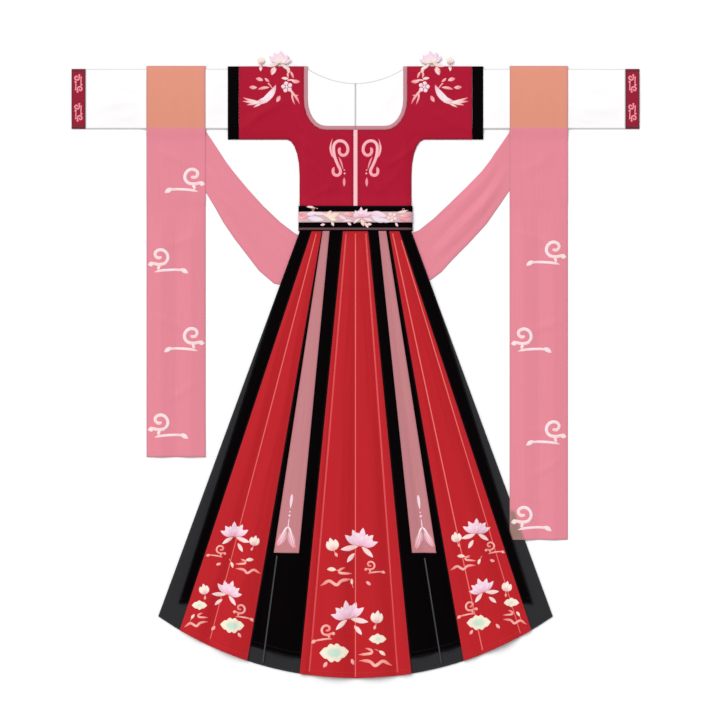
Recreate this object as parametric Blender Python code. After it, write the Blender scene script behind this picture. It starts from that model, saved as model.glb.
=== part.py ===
"""A hanfu costume laid flat on its back.

It has a long-sleeved shirt, a half-sleeved jacket, a skirt of red and black gores over a plain
underskirt, a belt with two hanging ribbons, and a long scarf. X runs across the costume, Y from hem to
shoulder and Z up from the surface it lies on. The origin is below the middle of its plan, on that surface.

Sizes are in millimetres and become metres when a body is made. Each piece of cloth is a thin wall whose
height above the surface is worked out from the layers below it.
"""

import math

import bpy
import numpy as np
from mathutils import Vector
from mathutils.geometry import delaunay_2d_cdt

# Cloth and layers
CLOTH = 1.0
GAP = 0.3
LAYER = CLOTH + GAP
SEAM = 0.15  # each edge stands back this far from its seam line

# Shirt
SHIRT_TOP = 712.0
SLEEVE_FALL = 141.0
SLEEVE_END = 634.0
CUFF_END = 667.0
SHIRT_HALF_WIDTH = 118.0
NECK_HALF_WIDTH = 113.0
NECK_DROP = 34.0
SLEEVE_CROWN = 3.0
SHIRT_UNDERSIDE = SHIRT_TOP - SLEEVE_FALL

# Jacket
SHOULDER = 718.0
JACKET_UNDERSIDE = 546.0
HALF_SLEEVE_END = 300.0
SLEEVE_BAND = 26.0
BODY_HALF_WIDTH = 131.5
UNDERARM_START = 161.0
UNDERARM_END = 463.0
U_HALF_WIDTH = 112.0
U_BOTTOM = 578.0
U_CORNER_WIDTH = 42.0
U_CORNER_HEIGHT = 62.0
BACK_NECK_DROP = 1.5  # the back's neck lies this much below the shirt's
TRIM_WIDTH = 9.0
CENTRE_BAND_HALF = 4.7
JACKET_HEM = 338.0

# Belt
BELT_TOP = 390.0
BELT_BOTTOM = 331.0
BELT_HALF_WIDTH = 134.0
BELT_THICKNESS = 1.5
BELT_STACK_HALF = 126.0
BELT_TUCK = 1.0
WAISTBAND_TOP = 386.0
BAND_TOP = 376.0
BAND_BOTTOM = 351.0
PIPING_TOP = 338.5
PIPING_BOTTOM = 333.5

# Skirt
WAIST_HALF_WIDTH = 131.0
SKIRT_LENGTH = 1050.0
HEM_RADIUS = 812.0
SIDE_SPREAD = 0.3675
HEM_CENTRE_Y = BELT_BOTTOM - SKIRT_LENGTH + HEM_RADIUS
GORE_TOP = BELT_BOTTOM - GAP
STRIP_START = 162.0
STRIP_SPREAD = 0.0517
SIDE_COLUMN = 5.6  # width at the waist of the column along the side edge
FOLD_OPENING = 0.8  # how soon the folds open below the belt: 1 is a straight rise to the hem

# Scarf
SCARF_TOP = 719.0
SCARF_LEFT = (-352.0, -491.0)
SCARF_RIGHT = (362.0, 499.0)
TAIL_END_LEFT = -200.0
TAIL_END_RIGHT = -394.0
SCARF_RIPPLE = 3.5
SCARF_BEHIND = (200.0, 316.0)
SCARF_BEHIND_HALF = 90.0

# Where the layers climb over what lies below them, as pairs of start and end
BELT_CLIMB = (413.0, 391.0)
WAIST_DROP = 20.0
WAIST_FALL = (BELT_BOTTOM, BELT_BOTTOM - WAIST_DROP)
SCARF_FALL = (197.0, 175.0)
SLEEVE_FALL_OFF = (498.0, 512.0)

# Rows of the skirt: distance below the belt, measured down the middle
SKIRT_ROWS = (0.0, 20.0, 134.0, 156.0, 310.0, 470.0, 620.0, 770.0, 870.0, 970.0, 1012.0, 1050.0)
FIRST_CURVED_ROW = 156.0
ROW_RIBBON_END = 770.0
ROW_OUTER_BLACK_END = 970.0
ROW_INNER_BLACK_END = 1012.0

# Ends that are cut level instead of along the hem: the row and its height in the plan
LEVEL_ENDS = {ROW_RIBBON_END: -424.0, ROW_OUTER_BLACK_END: -543.0}

# Lines down the skirt: X at the belt and spread outwards for each millimetre down
LINES = {
    "side_left": (-131.0, -0.3675),
    "seam_outer_left": (-103.0, -0.3310),
    "crease_red_left": (-90.4, -0.2615),
    "seam_inner_left": (-78.8, -0.1735),
    "ribbon_left_outer": (-76.9, -0.1520),
    "ribbon_left_inner": (-61.0, -0.0950),
    "seam_centre_left": (-29.5, -0.0980),
    "crease_centre_left": (-21.4, -0.0837),
    "crease_centre": (0.0, 0.0),
    "crease_centre_right": (23.8, 0.0726),
    "seam_centre_right": (29.5, 0.0980),
    "ribbon_right_inner": (54.0, 0.1044),
    "ribbon_right_middle": (63.0, 0.1297),
    "ribbon_right_outer": (72.0, 0.1550),
    "seam_inner_right": (78.8, 0.1735),
    "crease_red_right": (85.8, 0.2159),
    "crease_red_right_outer": (101.0, 0.3030),
    "seam_outer_right": (103.0, 0.3310),
    "side_right": (131.0, 0.3675),
}

# Folds of the front gores: the line where two folds meet, its height at the hem, and the rise of the
# fold between it and the next line
FOLDS = (
    ("side_left", 0.0, 8.0),
    ("seam_outer_left", 1.5, 5.5),
    ("crease_red_left", 0.0, 9.0),
    ("seam_inner_left", 3.0, 2.0),
    ("ribbon_left_outer", 0.5, 10.0),
    ("seam_centre_left", 4.0, 2.0),
    ("crease_centre_left", 0.5, 11.5),
    ("crease_centre", 0.5, 10.0),
    ("crease_centre_right", 0.5, 2.5),
    ("seam_centre_right", 4.0, 6.5),
    ("ribbon_right_middle", 0.5, 8.5),
    ("seam_inner_right", 2.5, 3.0),
    ("crease_red_right", 0.5, 10.5),
    ("crease_red_right_outer", 0.0, 2.5),
    ("seam_outer_right", 1.5, 7.0),
    ("side_right", 0.0, 0.0),
)

# Gores: name, colour, the lines that its columns follow, the columns between each two of them, and the
# row where it ends
GORES = (
    ("black_outer_left", "black", ("side_left", "seam_outer_left"), (5,), ROW_OUTER_BLACK_END),
    ("red_left", "red", ("seam_outer_left", "crease_red_left", "seam_inner_left"), (3, 4), SKIRT_LENGTH),
    ("black_inner_left", "black",
     ("seam_inner_left", "ribbon_left_outer", "ribbon_left_inner", "seam_centre_left"),
     (1, 3, 3), ROW_INNER_BLACK_END),
    ("red_centre", "red",
     ("seam_centre_left", "crease_centre_left", "crease_centre", "crease_centre_right",
      "seam_centre_right"),
     (2, 4, 4, 2), SKIRT_LENGTH),
    ("black_inner_right", "black",
     ("seam_centre_right", "ribbon_right_inner", "ribbon_right_middle", "ribbon_right_outer",
      "seam_inner_right"),
     (2, 2, 2, 1), ROW_INNER_BLACK_END),
    ("red_right", "red",
     ("seam_inner_right", "crease_red_right", "crease_red_right_outer", "seam_outer_right"),
     (2, 4, 2), SKIRT_LENGTH),
    ("black_outer_right", "black", ("seam_outer_right", "side_right"), (5,), ROW_OUTER_BLACK_END),
)

RIBBONS = (
    ("ribbon_left", ("ribbon_left_outer", "ribbon_left_inner"), (3,)),
    ("ribbon_right", ("ribbon_right_inner", "ribbon_right_middle", "ribbon_right_outer"), (2, 2)),
)

# Sections across a swag from the sleeve's top to the skirt: inner X and Y, outer X and Y, ripple height
SWAG_LEFT = (
    (-352.0, 719.0, -491.0, 719.0, 0.0),
    (-352.0, 600.0, -491.0, 600.0, 0.0),
    (-352.0, 566.0, -470.0, 548.0, 0.0),
    (-335.0, 541.0, -410.0, 484.0, 0.0),
    (-316.0, 512.0, -351.0, 421.0, 0.5),
    (-288.0, 472.0, -311.0, 352.0, 4.0),
    (-217.0, 390.0, -257.0, 277.0, 3.0),
    (-140.0, 324.0, -191.0, 207.0, 0.0),
    (-90.0, 316.0, -90.0, 200.0, 0.0),
)
SWAG_RIGHT = (
    (362.0, 719.0, 499.0, 719.0, 0.0),
    (362.0, 600.0, 499.0, 600.0, 0.0),
    (362.0, 564.0, 480.0, 550.0, 0.0),
    (345.0, 539.0, 420.0, 486.0, 0.0),
    (328.0, 515.0, 361.0, 425.0, 0.5),
    (297.0, 472.0, 308.0, 348.0, 4.0),
    (222.0, 397.0, 227.0, 263.0, 3.0),
    (149.0, 333.0, 177.0, 216.0, 0.0),
    (90.0, 316.0, 90.0, 200.0, 0.0),
)
SWAG_COLUMNS = 10
SWAG_RIPPLES = 2.5
SWAG_STEPS = 2

# Colours as they show, with roughness
COLOURS = {
    "white": ((250, 249, 250), 0.75),
    "crimson": ((174, 28, 54), 0.55),
    "red": ((186, 38, 46), 0.60),
    "black": ((9, 5, 9), 0.60),
    "charcoal": ((46, 46, 48), 0.70),
    "dusty_pink": ((196, 131, 134), 0.50),
    "trim_pink": ((190, 130, 138), 0.55),
    "pale_pink": ((255, 190, 197), 0.60),
    "cuff_red": ((155, 30, 50), 0.55),
    "band_pink": ((210, 174, 177), 0.55),
    "scarf_pink": ((229, 138, 153), 0.45),
}


def clear_scene():
    for item in list(bpy.data.objects):
        bpy.data.objects.remove(item, do_unlink=True)


def linear(value):
    share = value / 255.0
    return share / 12.92 if share <= 0.04045 else ((share + 0.055) / 1.055) ** 2.4


def cloth_material(colour):
    """One material for each colour, made when it is first asked for."""
    material = bpy.data.materials.get(colour)
    if material is None:
        shown, roughness = COLOURS[colour]
        material = bpy.data.materials.new(colour)
        material.use_nodes = True
        shader = material.node_tree.nodes["Principled BSDF"]
        shader.inputs["Base Color"].default_value = (*[linear(v) for v in shown], 1.0)
        shader.inputs["Roughness"].default_value = roughness
        shader.inputs["Metallic"].default_value = 0.0
    return material


def add_body(name, points, faces, colour):
    """An object from points in millimetres."""
    mesh = bpy.data.meshes.new(name)
    mesh.from_pydata([(x / 1000.0, y / 1000.0, z / 1000.0) for x, y, z in points], [], faces)
    mesh.validate()
    mesh.shade_smooth()
    mesh.set_sharp_from_angle(angle=math.radians(40))
    body = bpy.data.objects.new(name, mesh)
    body.data.materials.append(cloth_material(colour))
    bpy.context.scene.collection.objects.link(body)
    return body


def ramp(value, start, end):
    """0 at start, 1 at end, straight between them and level outside."""
    return min(1.0, max(0.0, (value - start) / (end - start)))


def inside(point, outline):
    """Whether a point of the plan lies inside a closed outline."""
    x, y = point
    found = False
    for (ax, ay), (bx, by) in zip(outline, outline[1:] + outline[:1]):
        if (ay > y) != (by > y) and x < ax + (y - ay) / (by - ay) * (bx - ax):
            found = not found
    return found


def panel(name, outline, creases, height, colour, thickness=CLOTH):
    """A wall over a plan outline. Its underside follows height(x, y), and is straight between creases."""
    points = [Vector(p) for p in outline]
    edges = [(i, (i + 1) % len(outline)) for i in range(len(outline))]
    for start, end in creases:
        points += [Vector(start), Vector(end)]
        edges.append((len(points) - 2, len(points) - 1))
    plan, _, triangles, _, _, _ = delaunay_2d_cdt(points, edges, [], 0, 1e-4)
    kept = []
    for a, b, c in triangles:
        middle = (plan[a] + plan[b] + plan[c]) / 3.0
        if inside(middle, outline):
            kept.append((a, b, c))
    used = sorted({corner for triangle in kept for corner in triangle})
    place = {corner: i for i, corner in enumerate(used)}
    count = len(used)
    lower = [(plan[c].x, plan[c].y, height(plan[c].x, plan[c].y)) for c in used]
    upper = [(x, y, z + thickness) for x, y, z in lower]
    faces = []
    sides = set()
    for triangle in kept:
        a, b, c = (place[corner] for corner in triangle)
        faces.append((c, b, a))
        faces.append((a + count, b + count, c + count))
        sides |= {(a, b), (b, c), (c, a)}
    for a, b in sorted(sides):
        if (b, a) not in sides:
            faces += [(a, b, b + count), (a, b + count, a + count)]
    return add_body(name, lower + upper, faces, colour)


def sheet(name, lower, colour, thickness=CLOTH):
    """A wall on a grid of points, lower[row][column], whose underside they are."""
    lower = np.asarray(lower, float)
    upper = lower + (0.0, 0.0, thickness)
    rows, columns = lower.shape[:2]
    count = rows * columns

    def at(row, column, top):
        return top * count + row * columns + column

    turned = np.cross(lower[1, 0] - lower[0, 0], lower[0, 1] - lower[0, 0])[2] > 0
    faces = []

    def quad(a, b, c, d, out=True):
        faces.extend([(a, b, c), (a, c, d)] if out == turned else [(c, b, a), (d, c, a)])

    for row in range(rows - 1):
        for column in range(columns - 1):
            for top in (0, 1):
                quad(at(row, column, top), at(row + 1, column, top),
                     at(row + 1, column + 1, top), at(row, column + 1, top), bool(top))
    for row in range(rows - 1):
        last = columns - 1
        quad(at(row, 0, 0), at(row + 1, 0, 0), at(row + 1, 0, 1), at(row, 0, 1))
        quad(at(row + 1, last, 0), at(row, last, 0), at(row, last, 1), at(row + 1, last, 1))
    for column in range(columns - 1):
        last = rows - 1
        quad(at(0, column + 1, 0), at(0, column, 0), at(0, column, 1), at(0, column + 1, 1))
        quad(at(last, column, 0), at(last, column + 1, 0), at(last, column + 1, 1), at(last, column, 1))
    points = np.concatenate([lower.reshape(-1, 3), upper.reshape(-1, 3)])
    return add_body(name, points, faces, colour)


def flat_tube(name, outer, inner, colour):
    """A tube pressed flat: outer[station][point] and inner[station][point] run round it the same way."""
    outer = np.asarray(outer, float)
    inner = np.asarray(inner, float)
    stations, around = outer.shape[:2]
    count = stations * around

    def at(station, point, skin):
        return skin * count + station * around + point % around

    faces = []

    def quad(a, b, c, d):
        faces.extend([(a, b, c), (a, c, d)])

    for station in range(stations - 1):
        for point in range(around):
            near, far = station, station + 1
            quad(at(near, point, 0), at(near, point + 1, 0), at(far, point + 1, 0), at(far, point, 0))
            quad(at(near, point + 1, 1), at(near, point, 1), at(far, point, 1), at(far, point + 1, 1))
    last = stations - 1
    for point in range(around):
        quad(at(0, point + 1, 0), at(0, point, 0), at(0, point, 1), at(0, point + 1, 1))
        quad(at(last, point, 0), at(last, point + 1, 0), at(last, point + 1, 1), at(last, point, 1))
    points = np.concatenate([outer.reshape(-1, 3), inner.reshape(-1, 3)])
    body = add_body(name, points, faces, colour)
    if signed_volume(points, faces) < 0:
        body.data.flip_normals()
    return body


def signed_volume(points, faces):
    return sum(np.dot(points[a], np.cross(points[b], points[c])) for a, b, c in faces)


# Heights of the layers


def chest_height(y, layers_below):
    """Underside of a layer of the upper body: it climbs over the belt's back and the waistband."""
    return LAYER * (layers_below + 2.0 * ramp(y, *BELT_CLIMB))


def skirt_height(y, layers_below):
    """Underside of a layer of the skirt: it lies on the scarf behind the waist, then on the surface."""
    return LAYER * (layers_below + 1.0 - ramp(y, *SCARF_FALL))


def skirt_front_height(x, y, layers_below):
    """A front layer starts higher, on the layers held in the belt, but not at its side edge."""
    beside = y > WAIST_FALL[1] + 0.01 and abs(x) > WAIST_HALF_WIDTH - 1.0
    climb = 0.0 if beside else 2.0 * LAYER * (1.0 - ramp(y, *WAIST_FALL))
    return skirt_height(y, layers_below) + climb


# Plans of the shirt and the jacket


def mirrored(outline, side):
    """The outline for side -1 or 1, which is drawn for side 1."""
    return [(side * x, y) for x, y in outline]


def neckline(drop, steps=8):
    """Round neck from the middle outwards, on the right half."""
    deep = SHIRT_TOP - NECK_DROP
    xs = [NECK_HALF_WIDTH * i / steps for i in range(steps + 1)]
    return [(x, deep - drop + NECK_DROP * (x / NECK_HALF_WIDTH) ** 2) for x in xs]


def underarm(steps=5):
    """Curve from the half sleeve's underside to the side of the body."""
    wide = UNDERARM_START - BODY_HALF_WIDTH
    high = JACKET_UNDERSIDE - UNDERARM_END
    turns = [math.pi / 2 * i / steps for i in range(steps + 1)]
    return [(UNDERARM_START - wide * math.sin(t), UNDERARM_END + high * math.cos(t)) for t in turns]


def u_neck(outset, steps=6):
    """The U neck from its bottom middle to the shoulder, moved outwards by outset."""
    wide = U_HALF_WIDTH + outset
    low = U_BOTTOM - outset
    corner_x = U_HALF_WIDTH - U_CORNER_WIDTH
    corner_y = U_BOTTOM + U_CORNER_HEIGHT
    turns = [math.pi / 2 * i / steps for i in range(steps + 1)]
    curve = [(corner_x + (wide - corner_x) * math.sin(t), corner_y - (corner_y - low) * math.cos(t))
             for t in turns]
    return curve + [(wide, SHOULDER)]


CORE_HALF = SHIRT_HALF_WIDTH + 1.2
CORE_LOW = SHIRT_UNDERSIDE - 1.2
CORE_HIGH = SHIRT_TOP + 1.2


def jacket_front_height(x, y):
    """The front lies on the shirt and comes down to the back along its own edges."""
    on_shirt = abs(x) <= CORE_HALF + 0.01 or CORE_LOW - 0.01 <= y <= CORE_HIGH + 0.01
    high = on_shirt and y <= CORE_HIGH + 0.01
    return chest_height(y, 3.0 if high else 1.0)


def jacket_side():
    """The sleeve's end, the underarm and the side, which is narrower where the belt holds it."""
    sleeve_end = HALF_SLEEVE_END - SLEEVE_BAND - SEAM
    sleeve = [(sleeve_end, SHOULDER), (sleeve_end, JACKET_UNDERSIDE)]
    held = [(BELT_STACK_HALF, BELT_TOP - BELT_TUCK), (BELT_STACK_HALF, JACKET_HEM)]
    return sleeve + underarm() + [(BODY_HALF_WIDTH, BELT_TOP + BELT_TUCK)] + held


def jacket_front_outline():
    edge = CENTRE_BAND_HALF + SEAM
    neck = [(x, y) for x, y in u_neck(TRIM_WIDTH + SEAM) if x > edge]
    start = [(edge, JACKET_HEM), (edge, U_BOTTOM - TRIM_WIDTH - SEAM)]
    return start + neck + jacket_side()


def make_jacket():
    creases = [
        ((0.0, BELT_CLIMB[0]), (BODY_HALF_WIDTH, BELT_CLIMB[0])),
        ((0.0, BELT_CLIMB[1]), (BODY_HALF_WIDTH, BELT_CLIMB[1])),
    ]
    core = [
        ((CORE_HALF, JACKET_HEM), (CORE_HALF, CORE_LOW)),
        ((CORE_HALF, CORE_LOW), (HALF_SLEEVE_END - SLEEVE_BAND, CORE_LOW)),
        ((U_HALF_WIDTH, CORE_HIGH), (HALF_SLEEVE_END - SLEEVE_BAND, CORE_HIGH)),
    ]
    for side, word in ((-1, "left"), (1, "right")):
        panel(f"jacket_front_{word}", mirrored(jacket_front_outline(), side),
              [tuple(mirrored(c, side)) for c in creases + core], jacket_front_height, "crimson")
        make_neck_trim(side, word)
        make_sleeve_band(side, word)
    edge = CENTRE_BAND_HALF - SEAM
    top = U_BOTTOM - TRIM_WIDTH - 2 * SEAM
    panel("jacket_centre_band", [(-edge, JACKET_HEM), (edge, JACKET_HEM), (edge, top), (-edge, top)],
          [((-edge, y), (edge, y)) for y in BELT_CLIMB], jacket_front_height, "pale_pink")
    make_jacket_back()


def make_neck_trim(side, word):
    outer = [(SEAM, U_BOTTOM - TRIM_WIDTH + SEAM)] + u_neck(TRIM_WIDTH - SEAM)
    inner = [(SEAM, U_BOTTOM)] + u_neck(0.0)
    outline = outer + inner[::-1]
    first = (U_HALF_WIDTH, CORE_HIGH)
    second = (U_HALF_WIDTH + TRIM_WIDTH, CORE_HIGH)
    panel(f"jacket_neck_trim_{word}", mirrored(outline, side), [tuple(mirrored((first, second), side))],
          jacket_front_height, "trim_pink")


def make_sleeve_band(side, word):
    """The black end band, a ring round the shirt's sleeve."""
    low, high = JACKET_UNDERSIDE, SHOULDER
    lift = 3.0 * LAYER
    outer = [(low, 0.0), (high, 0.0), (high, 2 * CLOTH + GAP), (CORE_HIGH, lift + CLOTH),
             (CORE_LOW, lift + CLOTH), (low, 2 * CLOTH + GAP)]
    inner = [(low + 1.5, CLOTH), (high - 1.5, CLOTH), (high - 1.5, LAYER), (CORE_HIGH - 0.4, lift),
             (CORE_LOW + 0.4, lift), (low + 1.5, LAYER)]
    stations = (HALF_SLEEVE_END - SLEEVE_BAND + SEAM, HALF_SLEEVE_END)
    flat_tube(f"jacket_sleeve_band_{word}",
              [[(side * x, y, z) for y, z in outer] for x in stations],
              [[(side * x, y, z) for y, z in inner] for x in stations], "black")


def make_jacket_back():
    half = neckline(BACK_NECK_DROP) + [(NECK_HALF_WIDTH, SHOULDER)] + jacket_side()
    outline = half + mirrored(half[1:], -1)[::-1]
    creases = [((-BODY_HALF_WIDTH, y), (BODY_HALF_WIDTH, y)) for y in BELT_CLIMB]
    panel("jacket_back", outline, creases, lambda x, y: chest_height(y, 0.0), "crimson")


def make_shirt():
    side_x = SHIRT_HALF_WIDTH - SEAM
    climb = [((-side_x, y), (side_x, y)) for y in BELT_CLIMB]
    half = neckline(0.0) + [(side_x, SHIRT_TOP), (side_x, JACKET_HEM)]
    panel("shirt_back", half + mirrored(half[1:], -1)[::-1], climb,
          lambda x, y: chest_height(y, 1.0), "white")
    for side, word in ((-1, "left"), (1, "right")):
        neck = [(max(x, SEAM), y) for x, y in neckline(0.0)]
        outline = neck + [(side_x, SHIRT_TOP), (side_x, JACKET_HEM), (SEAM, JACKET_HEM)]
        creases = [tuple(mirrored(((0.0, y), (side_x, y)), side)) for y in BELT_CLIMB]
        panel(f"shirt_front_{word}", mirrored(outline, side), creases,
              lambda x, y: chest_height(y, 2.0), "white")
        make_sleeve(side, word)


SLEEVE_ROWS = tuple(SHIRT_UNDERSIDE + 1.0 + (SLEEVE_FALL - 2.0) * i / 6 for i in range(7))

# Stations along a sleeve: distance from the middle of the costume and share of the full crown
SLEEVE_STATIONS = (
    (SHIRT_HALF_WIDTH + SEAM, 0.0),
    (HALF_SLEEVE_END, 0.0),
    (342.0, 1.0),
    (SLEEVE_FALL_OFF[0], 1.0),
    (SLEEVE_FALL_OFF[1], 1.1),
    (575.0, 1.3),
    (SLEEVE_END - SEAM, 0.5),
)
CUFF_STATIONS = ((SLEEVE_END + SEAM, 0.5), (CUFF_END, 0.4))


def sleeve_base(x):
    """Height of the sleeve's underside: on the jacket's sleeve and the scarf, then on the surface."""
    return LAYER * (1.0 - ramp(abs(x), *SLEEVE_FALL_OFF))


def sleeve_crown(y):
    share = (y - SLEEVE_ROWS[0]) / (SLEEVE_ROWS[-1] - SLEEVE_ROWS[0])
    return SLEEVE_CROWN * max(0.0, math.sin(math.pi * share))


def sleeve_section(x, crown):
    """Outer and inner rings of a sleeve at one station: along the back, then along the front."""
    base = sleeve_base(x)
    front = base + LAYER
    low, high = SHIRT_UNDERSIDE, SHIRT_TOP
    fold = base + CLOTH + GAP / 2
    outer = [(low + 1.0, base), (high - 1.0, base), (high, fold)]
    inner = [(low + 2.2, base + CLOTH), (high - 2.2, base + CLOTH), (high - 1.6, fold)]
    for i, y in enumerate(reversed(SLEEVE_ROWS)):
        lift = crown * sleeve_crown(y)
        nearer = {0: -1.2, len(SLEEVE_ROWS) - 1: 1.2}.get(i, 0.0)
        outer.append((y, front + lift + CLOTH))
        inner.append((y + nearer, front + lift))
    outer.append((low, fold))
    inner.append((low + 1.6, fold))
    return outer, inner


def make_sleeve(side, word):
    for name, stations, colour in (
        (f"shirt_sleeve_{word}", SLEEVE_STATIONS, "white"),
        (f"shirt_cuff_{word}", CUFF_STATIONS, "cuff_red"),
    ):
        outer, inner = [], []
        for x, crown in stations:
            rings = sleeve_section(x, crown)
            outer.append([(side * x, y, z) for y, z in rings[0]])
            inner.append([(side * x, y, z) for y, z in rings[1]])
        flat_tube(name, outer, inner, colour)


def box_panel(name, half_width, low, high, base, colour, thickness=CLOTH):
    outline = [(-half_width, low), (half_width, low), (half_width, high), (-half_width, high)]
    return panel(name, outline, [], lambda x, y: base, colour, thickness)


def make_belt():
    """The belt's front lies on eight layers and comes down to its back at the sides."""
    top = 7.0 * LAYER
    low = LAYER

    def front_height(x, y):
        return top if abs(x) <= BELT_STACK_HALF + 0.6 else low

    outline = [(-BELT_HALF_WIDTH, BELT_BOTTOM), (BELT_HALF_WIDTH, BELT_BOTTOM),
               (BELT_HALF_WIDTH, BELT_TOP), (-BELT_HALF_WIDTH, BELT_TOP)]
    bend = BELT_STACK_HALF + 0.5
    creases = [((side * bend, BELT_BOTTOM), (side * bend, BELT_TOP)) for side in (-1, 1)]
    panel("belt_front", outline, creases, front_height, "black", BELT_THICKNESS)
    box_panel("belt_back", BELT_HALF_WIDTH, BELT_BOTTOM, BELT_TOP, 0.0, "black")
    for name, bottom, upper, colour in (
        ("belt_band", BAND_BOTTOM, BAND_TOP, "band_pink"),
        ("belt_piping", PIPING_BOTTOM, PIPING_TOP, "trim_pink"),
    ):
        outline = [(-BELT_HALF_WIDTH, bottom), (BELT_HALF_WIDTH, bottom),
                   (BELT_HALF_WIDTH, upper), (-BELT_HALF_WIDTH, upper)]
        creases = [((side * bend, bottom), (side * bend, upper)) for side in (-1, 1)]
        panel(name, outline, creases, lambda x, y: front_height(x, y) + BELT_THICKNESS + GAP, colour)
    for word, layers in (("back", 1.0), ("front", 6.0)):
        box_panel(f"skirt_waistband_{word}", BELT_STACK_HALF, BELT_BOTTOM, WAISTBAND_TOP,
                  layers * LAYER, "black")


# Skirt


def line_x(name, y, strip=True):
    """X of a line at a height. The side lines may keep the charcoal strip free below the hip."""
    start, spread = LINES[name]
    down = BELT_BOTTOM - y
    x = start + spread * down
    if strip and name.startswith("side"):
        x -= math.copysign(max(0.0, (down - STRIP_START) * STRIP_SPREAD), spread)
    return x


def line_length(name):
    """Distance down from the belt to the hem's arc on a line."""
    start, spread = LINES[name]
    drop = BELT_BOTTOM - HEM_CENTRE_Y
    a = spread * spread + 1.0
    b = 2.0 * (spread * start - drop)
    c = start * start + drop * drop - HEM_RADIUS * HEM_RADIUS
    return (-b + math.sqrt(b * b - 4.0 * a * c)) / (2.0 * a)


def row_y(name, row):
    """Height of a row on a line. Rows are level near the belt and follow the hem further down."""
    bent = max(0.0, (row - FIRST_CURVED_ROW) / (SKIRT_LENGTH - FIRST_CURVED_ROW))
    return BELT_BOTTOM - row - (line_length(name) - SKIRT_LENGTH) * bent


def fold_height(x, y, row):
    """Rise of the front gores' folds at a place of the plan."""
    share = (row / SKIRT_LENGTH) ** FOLD_OPENING
    places = [line_x(name, y, strip=False) for name, _, _ in FOLDS]
    for i in range(len(FOLDS) - 1):
        if x <= places[i + 1] or i == len(FOLDS) - 2:
            across = ramp(x, places[i], places[i + 1])
            level = FOLDS[i][1] * (1.0 - across) + FOLDS[i + 1][1] * across
            return share * (level + FOLDS[i][2] * math.sin(math.pi * across))
    return 0.0


def end_y(name, row, last_row):
    """Height of a row on a line, where the last row of a piece may be cut level."""
    if row == last_row and row in LEVEL_ENDS:
        return LEVEL_ENDS[row]
    return row_y(name, row)


def gore_grid(lines, counts, last_row, lift, strip):
    """Underside of a front gore, or of a ribbon on it when lift is more than 0."""
    rows = [row for row in SKIRT_ROWS if row <= last_row]
    grid = []
    for row in rows:
        ys = [end_y(name, row, last_row) for name in lines]
        ends = [(line_x(name, y, strip), y) for name, y in zip(lines, ys)]
        places = []
        for (ax, ay), (bx, by), count in zip(ends, ends[1:], counts):
            places += [(ax + (bx - ax) * i / count, ay + (by - ay) * i / count) for i in range(count)]
        places.append(ends[-1])
        heights = [skirt_front_height(x, y, 3.0) + fold_height(x, y, row) + lift for x, y in places]
        grid.append([(x, y, z) for (x, y), z in zip(places, heights)])
    return np.array(grid)


def make_front_gores():
    for name, colour, lines, counts, last_row in GORES:
        grid = gore_grid(lines, counts, last_row, 0.0, True)
        grid[:, 0, 0] += SEAM
        grid[:, -1, 0] -= SEAM
        grid[0, :, 1] = GORE_TOP
        sheet(f"skirt_front_{name}", grid, colour)


def make_ribbons():
    for name, lines, counts in RIBBONS:
        grid = gore_grid(lines, counts, ROW_RIBBON_END, LAYER, False)
        grid[0, :, 1] = BELT_BOTTOM - GAP
        sheet(name, grid, "dusty_pink")


def gore_outline(first, last, last_row, strip, steps):
    """Plan of a flat gore between two lines, round its hem from the first line to the last."""
    left = [(line_x(first, GORE_TOP, strip), GORE_TOP)]
    right = [(line_x(last, GORE_TOP, strip), GORE_TOP)]
    bottom = []
    if strip:
        hip = BELT_BOTTOM - STRIP_START
        left.append((line_x(first, hip), hip))
        right.append((line_x(last, hip), hip))
    ends = [(line_x(name, row_y(name, last_row), strip), row_y(name, last_row)) for name in (first, last)]
    raised = SKIRT_LENGTH - last_row
    for i in range(steps + 1):
        x = ends[0][0] + (ends[1][0] - ends[0][0]) * i / steps
        bottom.append((x, HEM_CENTRE_Y - math.sqrt(HEM_RADIUS ** 2 - x * x) + raised))
    shifted = [(x + SEAM, y) for x, y in left] + [(bottom[0][0] + SEAM, bottom[0][1])]
    shifted += bottom[1:-1] + [(bottom[-1][0] - SEAM, bottom[-1][1])]
    return shifted + [(x - SEAM, y) for x, y in reversed(right)]


def make_back_layers():
    wide = [((-WAIST_HALF_WIDTH * 2, y), (WAIST_HALF_WIDTH * 2, y)) for y in SCARF_FALL]
    for name, colour, lines, _, _ in GORES:
        outline = gore_outline(lines[0], lines[-1], SKIRT_LENGTH, False, 4)
        panel(f"skirt_back_{name}", outline, wide, lambda x, y: skirt_height(y, 0.0), colour)
    outline = gore_outline("side_left", "side_right", SKIRT_LENGTH, False, 24)
    panel("underskirt_back", outline, wide, lambda x, y: skirt_height(y, 1.0), "charcoal")
    low = WAIST_FALL[1]
    fall = [((-WAIST_HALF_WIDTH * 2, low), (WAIST_HALF_WIDTH * 2, low))]
    for side in (-1, 1):
        corner = (side * (WAIST_HALF_WIDTH - SEAM), GORE_TOP)
        held = (side * (WAIST_HALF_WIDTH - SIDE_COLUMN), GORE_TOP)
        below = (side * (WAIST_HALF_WIDTH + SIDE_SPREAD * WAIST_DROP - SIDE_COLUMN), low)
        fall += [(corner, below), (held, below)]
    panel("underskirt_front", outline, wide + fall, lambda x, y: skirt_front_height(x, y, 2.0), "charcoal")


# Scarf


def wave(count, t):
    """Soft folds across a width: 0 in the troughs and 1 on the ridges."""
    return 0.5 - 0.5 * math.cos(2 * math.pi * count * t)


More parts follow.
